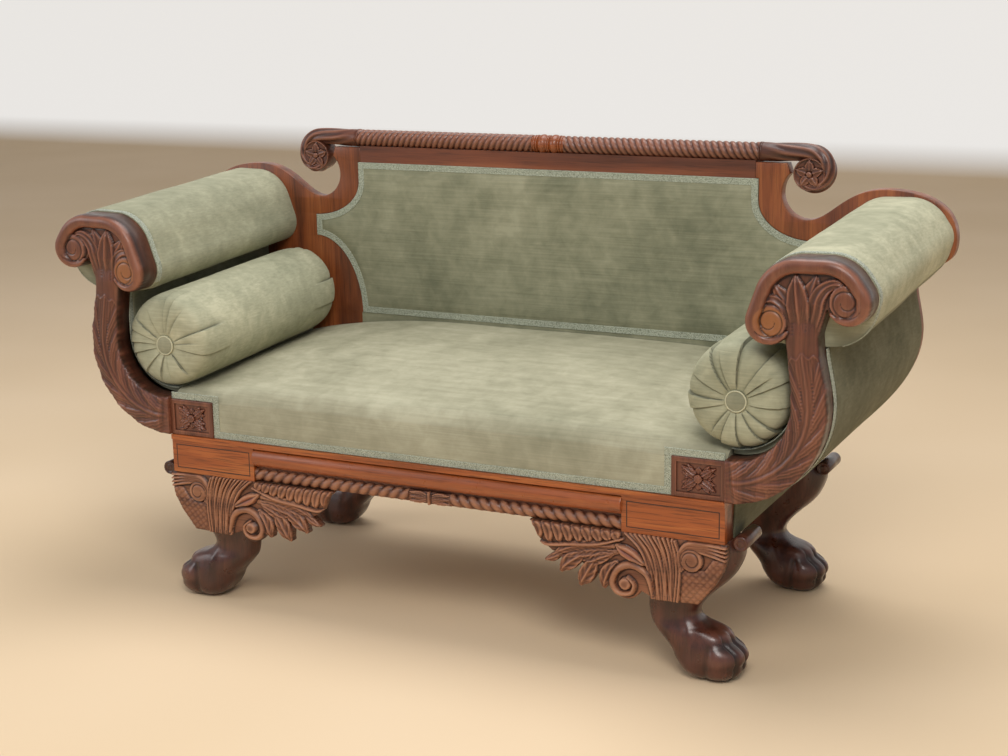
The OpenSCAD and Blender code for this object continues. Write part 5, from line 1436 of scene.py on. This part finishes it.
def braid_between(a, b, normal, thick):
    """A strip between two lines with matching points: beads between two edge cords."""
    across = np.linspace(0, 1, 15)
    cords = 0.25 * (np.exp(-((across - 0.06) / 0.05) ** 2) + np.exp(-((across - 0.94) / 0.05) ** 2))
    rows = []
    for p, q, n, length in zip(a, b, np.broadcast_to(normal, a.shape), travelled(a)):
        bead = math.cos(2 * math.pi * length / 6.8)
        h = 0.62 + 0.38 * bead * np.cos(4 * math.pi * across) + cords
        h *= np.minimum(1, np.minimum(across, 1 - across) * 14 + 0.25)
        face = p + (q - p) * across[:, None] + n * (h * thick)[:, None]
        rows.append(np.vstack([face, p + (q - p) * across[::-1][:, None]]))
    return skin(rows)


def flat_braid(name, a, b, y):
    """A braid that lies on a face turned to the front."""
    a, b = matched(a, b)
    v, f = braid_between(at_depth(a, y), at_depth(b, y), (0.0, -1.0, 0.0), 2.0)
    o = make(name + "_look", v, f, M_GIMP, slot="gimp")
    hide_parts(name)


inner_line = grown(full, -BRAID_W)
flat_braid("gimp_back", np.vstack([full, full[:1]]), np.vstack([inner_line, inner_line[:1]]),
           PAD_F + 2.1)
# along the seat's front edge and over the rosette blocks
STEPS = np.array([[SEAT_W, BLOCK_TOP + 0.2], [BLOCK_IN, BLOCK_TOP + 0.2], [BLOCK_IN, SEAT_LOW]])
STEPS_OUT = np.array([[SEAT_W, BLOCK_TOP + BRAID_W], [466.9, BLOCK_TOP + BRAID_W],
                      [466.9, DECK_Z + BRAID_W]])
flat_braid("gimp_seat", np.vstack([STEPS * [-1, 1], STEPS[::-1]]),
           np.vstack([STEPS_OUT * [-1, 1], STEPS_OUT[::-1]]), 4.9)


def edge_braid(line, hand):
    """A strip round the front edge of the arm's velvet, raised to the line's left or right."""
    t = np.gradient(line, axis=0)
    t /= np.linalg.norm(t, axis=1)[:, None]
    out = at_depth(hand * np.stack([-t[:, 1], t[:, 0]], 1), 0.0)
    return braid_between(at_depth(line, 30.3), at_depth(line, 44.0), out, 1.8)


v, f = join([edge_braid(resample(line, BRAID_STEP), hand) for line, hand in (
    (hull_line(HEAD, 1.4, 215, -75, 120), 1), (shifted(inner_path(ARM_Y), -1.6), 1),
    (shifted(outer_path(ARM_Y), -0.2)[16:], -1))])
for o in pair("gimp_arm", v, f, M_GIMP, ["gimp_arm"], slot="gimp"):
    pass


# ---------------------------------------------------------------- bolsters
BOLSTER_R, BOLSTER_F, BOLSTER_L = 95.0, 6.0, 524.0
BOLSTER_C = CRADLE + (CRADLE_R - 95 - 0.3) * way(-60)
SLOPE = CRADLE_RISE / (ARM_END - ARM_Y)
# depth and radius shares of an end, from under the button outward
END = np.array([[0.115, 0.06], [0.105, 0.13], [0.065, 0.20], [0.030, 0.30], [0.010, 0.44],
                [0.004, 0.58], [0.022, 0.72], [0.062, 0.83], [0.125, 0.915], [0.21, 0.962],
                [0.32, 0.985], [0.46, 0.995], [0.62, 1.0]])
BUTTON_LOW = 9.0       # the front button is drawn down a little
# radius and height of a button's rings: painted highlight on its piped edge, painted shade on its
# face within it
BUTTON = ((0.3, 0), (13, 0), (17, 1.4), (18.9, 3.0), (19.4, 4.4), (19.0, 5.6), (18.0, 6.1),
          (17.1, 5.5), (16.6, 5.0), (15.6, 5.7), (12, 6.7), (6, 7.3), (0.3, 7.5))


def bolster_mesh(seed):
    """A stuffed roll whose ends are drawn into one-sided pleats under a button."""
    r_ = np.random.default_rng(seed)
    m, count = 420, 15
    a = np.linspace(0, 2 * math.pi, m, endpoint=False)
    wide = np.cumsum(r_.uniform(0.45, 1.55, count))
    edges = wide / wide[-1] * 2 * math.pi + r_.uniform(0, 0.4)
    bend = r_.uniform(-0.07, 0.07, count) + 0.10 * np.sin(edges + seed)
    out_to = r_.uniform(0.75, 1.55, count)
    high = r_.uniform(2.6, 6.4, count)
    hand = np.where(r_.uniform(0, 1, count) < 0.75, 1.0, -1.0)
    swell = r_.uniform(0.14, 0.34, count)
    prof = smooth_line(END, 5)
    last = END[-1][0] * BOLSTER_R
    body = np.linspace(last, BOLSTER_L - last, 40)[1:-1]
    steps = np.array([(BOLSTER_R * p[0], p[1]) for p in prof] + [(b, 1.0) for b in body]
                     + [(BOLSTER_L - BOLSTER_R * p[0], p[1]) for p in prof[::-1]])
    run = np.gradient(steps * [1, BOLSTER_R], axis=0)
    run /= np.linalg.norm(run, axis=1)[:, None]
    rings, soil = [], []
    for (depth, share), lean in zip(steps, run):
        y = BOLSTER_F + depth
        c = BOLSTER_C + SLOPE * (y - ARM_Y)
        reach = share + max(0.0, min(depth, BOLSTER_L - depth) - last) / BOLSTER_R
        h, crease_shade = np.zeros(m), np.zeros(m)
        for k in range(count):
            on = min(1, max(0, (share - 0.2) / 0.07)) * min(1, max(0, (out_to[k] - reach) / 0.3))
            if on <= 0:
                continue
            d = (a - edges[k] - bend[k] * share ** 2 + math.pi) % (2 * math.pi) - math.pi
            d = d * hand[k]
            past, before = np.maximum(d, 0), np.minimum(d, 0)
            lip = 0.55 * np.exp(-past / swell[k]) * (d >= 0)
            valley = -0.75 * np.exp(before / 0.06) * (d < 0) \
                - 0.35 * np.exp(before / 0.22) * (d < 0)
            h += on * high[k] * min(1.0, 0.35 + share) * (lip + valley)
            # painted shade: dark in each pleat's crease, fading over the valley before it
            crease = np.exp(-(before / 0.026) ** 2) * np.exp(-(past / 0.008) ** 2)
            shade = 0.20 * np.exp(before / 0.16) * (d < 0)
            crease_shade = np.maximum(crease_shade, on * np.maximum((0.45 + 0.08 * high[k]) * crease, shade))
        sag = 0.8 * np.sin(a * 3 + y / 61.0 + seed) * math.sin(math.pi * depth / BOLSTER_L)
        h = np.minimum(h, 1.4) - 1.6 + np.minimum(sag, 0)
        rr = BOLSTER_R * share + lean[0] * h
        low = BUTTON_LOW * (1 - share) if depth < BOLSTER_L / 2 else 0.0
        rings.append(np.stack([c[0] + rr * np.cos(a), y - lean[1] * h,
                               c[1] - low + rr * np.sin(a)], 1))
        soil.append(np.clip(crease_shade, 0, 0.9))
    return *skin(rings), {"soil": np.concatenate(soil)}


for side, hand, seed in (("right", 1, 3), ("left", -1, 11)):
    v, f, at = bolster_mesh(seed)
    o = make(f"bolster_{side}_look", v * [hand, 1, 1], [q[::hand] for q in f], M_VELVET_LIT,
             f"{side}_bolster", slot="velvet", attrs=at)
    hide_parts(f"bolster_{side}")


def button_mesh(front):
    """A covered button with a piped edge, sunk in the front or the back end."""
    sunk = BOLSTER_R * 0.10
    y0 = BOLSTER_F + sunk - 0.1 if front else BOLSTER_F + BOLSTER_L - sunk + 0.1
    c = BOLSTER_C + SLOPE * (y0 - ARM_Y) - [0, BUTTON_LOW * 0.8 if front else 0]
    turn = np.linspace(0, 360, 64, endpoint=False)
    return skin([at_depth(about(c, turn, r), y0 - h if front else y0 + h) for r, h in BUTTON])


v, f = join([button_mesh(True), button_mesh(False)])
ring_of = np.repeat(np.tile(np.arange(len(BUTTON)), 2), 64)
# painted shade on the button's face, painted highlight on its piped edge
at = {"soil": np.where(ring_of >= 8, 0.36, 0.0), "pale": np.where(ring_of < 7, 0.8, 0.0)}
for o in pair("bolster_button", v, f, M_VELVET_LIT, ["bolster_buttons"],
              ("right_bolster", "left_bolster"), slot="velvet", attrs=at):
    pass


# ---------------------------------------------------------------- hidden cloth
def slab(x0, x1, z0, z1, y0, y1):
    """A strap or sheet as a closed slab of cells about 10 mm wide; y is its thin way."""
    nx, nz = max(2, int((x1 - x0) / 10)), max(2, int((z1 - z0) / 10))
    X, Z = np.meshgrid(np.linspace(x0, x1, nx + 1), np.linspace(z0, z1, nz + 1), indexing="ij")
    v = np.vstack([np.stack([X, np.full(X.shape, y), Z], -1).reshape(-1, 3) for y in (y0, y1)])
    n = X.size
    f = grid_faces(nx + 1, nz + 1)
    at = np.arange(n).reshape(nx + 1, nz + 1)
    loop = list(at[0, :]) + list(at[1:, -1]) + list(at[-1, -2::-1]) + list(at[-2:0:-1, 0])
    sides = [[p, q, q + n, p + n] for p, q in zip(loop, loop[1:] + loop[:1])]
    return v, facing_out(v, f + [[i + n for i in q][::-1] for q in f] + sides)


def laid(part):
    """The same slab turned to lie flat: its thin way is up."""
    v, f = part
    return v[:, [0, 2, 1]], [q[::-1] for q in f]


def webbing(name, parts):
    v, f = join(parts)
    o = make(name + "_look", v, facing_out(v, f), M_JUTE, slot="jute", crisp=40)
    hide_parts(name)


CLOTH_F, CLOTH_W = 22.6, 569       # front end and half width of the cloth under the seat
LEDGE = DECK_Z - 2 * 1.6 - 1.2 - 0.3       # what the seat's webbing lies on
parts = []
for i in range(9):
    x = 505 * (2 * i / 8 - 1)
    y_end = SEAT_DEPTH + (18 if abs(x) + 30 < 455 else -0.1)
    parts.append(laid(slab(x - 30, x + 30, CLOTH_F, y_end, LEDGE + 0.1, LEDGE + 1.6)))
for i in range(4):
    y = 44 + 60 + (SEAT_DEPTH - 44 - 120) * i / 3
    parts.append(laid(slab(-CLOTH_W, CLOTH_W, y - 30, y + 30, LEDGE + 1.8, LEDGE + 3.3)))
webbing("seat_webbing", parts)

v, f = laid(slab(-CLOTH_W, CLOTH_W, CLOTH_F, 540, LEDGE + 3.6, DECK_Z - 0.1))
hess = make("seat_hessian_look", v, f, M_HESSIAN, slot="hessian", crisp=40)
round_blocks(hess, 480.7, 330, 420)
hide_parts("seat_hessian")

parts = []
for i in range(7):
    x = -PANEL_W + 2 * PANEL_W / 7 * (i + 0.5)
    parts.append(slab(x - 27.5, x + 27.5, PANEL_Z - 40, PANEL_TOP + 25, BACK_Y + 0.1,
                      BACK_Y + 1.6))
for k in (0.28, 0.55, 0.82):
    z = PANEL_Z + (PANEL_TOP - PANEL_Z) * k
    parts.append(slab(-PANEL_W - 22, PANEL_W + 22, z - 27.5, z + 27.5, BACK_Y + 1.8,
                      BACK_Y + 3.3))
webbing("back_webbing", parts)

cover_line = grown(full, 20.0)


def cover_inside(X, Z):
    low_part = np.minimum(PANEL_W + 20 - np.abs(X), np.minimum(Z - RAIL_Z - 4, PANEL_Z + 4 - Z))
    return np.maximum(polygon_sd(cover_line, X, Z), low_part)


def cover_height(X, Z):
    return 0.15 * np.sin(X / 83.0) * np.sin(Z / 61.0)


v, f, at = relief((-590, 268), (590, 852), 7.0, cover_inside, cover_height, BACK_Y + 3.7,
                  BACK_Y + 4.9, 0.3)
o = make("back_cover_look", v, f, M_LINING, slot="lining_cloth", crisp=40)
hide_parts("back_outer_cover")

# ---------------------------------------------------------------- CAD pieces that stay
KEEP = {
    "front_rail": M_FRAME_X, "back_rail": M_FRAME_X, "end_rail_left": M_BEECH,
    "end_rail_right": M_BEECH, "seat_stretchers": M_BEECH, "corner_blocks": M_BEECH,
    "corner_block_screws": M_STEEL, "rail_panel_left": M_VENEER, "rail_panel_right": M_VENEER,
    "string_inlay": M_LINE, "rail_fillet": M_VENEER, "arm_roll_core_left": M_BEECH,
    "arm_roll_core_right": M_BEECH, "arm_slats_left": M_BEECH, "arm_slats_right": M_BEECH,
    "crest_board": M_FRAME_X, "back_lower_rail": M_VELVET_SHADED,
}
for node, mat in KEEP.items():
    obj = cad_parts[node]
    if not obj.material_slots:
        obj.data.materials.append(mat)
    for place in obj.material_slots:
        place.material = mat


# ---------------------------------------------------------------- floor, backdrop and light
WHITE = srgb(243, 240, 236)
STAGE_W, STAGE_F, WALL_Y, WALL_H, COVE = 14.0, -14.0, 7.6, 9.0, 1.0       # metres


def stage_plane():
    """A pale floor that curves up into a white backdrop."""
    a = np.radians(np.arange(0, 91, 9))
    y = np.concatenate([[STAGE_F, 6.0], WALL_Y - COVE + COVE * np.sin(a), [WALL_Y]])
    z = np.concatenate([[0.0, 0.0], COVE - COVE * np.cos(a), [WALL_H]])
    v = [[x, q, h] for q, h in zip(y, z) for x in (-STAGE_W, STAGE_W)]
    faces = [[2 * i, 2 * i + 1, 2 * i + 3, 2 * i + 2] for i in range(len(y) - 1)]
    me = bpy.data.meshes.new("stage")
    me.from_pydata(v, [], faces)
    me.polygons.foreach_set("use_smooth", [True] * len(faces))
    m = Nodes("stage")
    height = m.add("ShaderNodeSeparateXYZ")
    m.link(m.where, height.inputs[0])
    wall = m.ramp(height.outputs[2], (0.02, 0.0), (0.16, 1.0))
    floor = m.cloud(0.8, 2, srgb(228, 202, 166), srgb(235, 210, 176))
    m.colour(m.mix("MIX", wall, floor, srgb(242, 239, 234)))
    m.set(Roughness=0.8, Specular_IOR_Level=0.15)
    # seen straight, or in gloss or glass, the wall is white; its light on the object is not
    rays = m.add("ShaderNodeLightPath")
    seen = m.math("MAXIMUM", rays.outputs["Is Camera Ray"], rays.outputs["Is Glossy Ray"])
    seen = m.math("MAXIMUM", seen, rays.outputs["Is Transmission Ray"])
    white = m.add("ShaderNodeEmission")
    m.feed(white.inputs["Color"], WHITE)
    share = m.add("ShaderNodeMixShader")
    m.link(m.math("MULTIPLY", seen, m.math("MULTIPLY", wall, 0.85)), share.inputs[0])
    m.link(m.shader.outputs[0], share.inputs[1])
    m.link(white.outputs[0], share.inputs[2])
    m.link(share.outputs[0], m.out.inputs[0])
    me.materials.append(m.mat)
    obj = bpy.data.objects.new("stage", me)
    scene.collection.objects.link(obj)
    obj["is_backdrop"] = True


def lamp(name, place, aim, size, power, colour=(1, 1, 1)):
    data = bpy.data.lights.new(name, "AREA")
    data.shape, data.size, data.energy, data.color = "DISK", size, power, colour
    obj = bpy.data.objects.new(name, data)
    obj.location = place
    obj.rotation_euler = (Vector(aim) - Vector(place)).to_track_quat("-Z", "Y").to_euler()
    scene.collection.objects.link(obj)


stage_plane()
lamp("key", (1.6, -3.0, 3.2), (0, 0, 0.4), 1.8, 80, (1.0, 0.975, 0.94))
lamp("fill", (-3.2, -2.4, 2.0), (0, 0, 0.5), 2.4, 38, (0.97, 0.98, 1.0))
lamp("top", (0.2, 0.6, 3.6), (0, 0, 0.5), 2.6, 66)
# the sky is white where it is seen, and lights the object with a dimmer, cooler tone
world = bpy.data.worlds.new("world")
scene.world = world
world.use_nodes = True
sky = world.node_tree
dim = sky.nodes["Background"]
dim.inputs[0].default_value = (0.93, 0.95, 1.0, 1)
dim.inputs[1].default_value = 0.42
rays, white, share, seen = (sky.nodes.new("ShaderNode" + k) for k in (
    "LightPath", "Background", "MixShader", "Math"))
white.inputs["Color"].default_value = (*WHITE, 1)
seen.operation = "MAXIMUM"
for a, b in ((rays.outputs["Is Camera Ray"], seen.inputs[0]),
             (rays.outputs["Is Transmission Ray"], seen.inputs[1]),
             (seen.outputs[0], share.inputs[0]), (dim.outputs[0], share.inputs[1]),
             (white.outputs[0], share.inputs[2]),
             (share.outputs[0], sky.nodes["World Output"].inputs[0])):
    sky.links.new(a, b)

# ---------------------------------------------------------------- sizes
low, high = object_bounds()
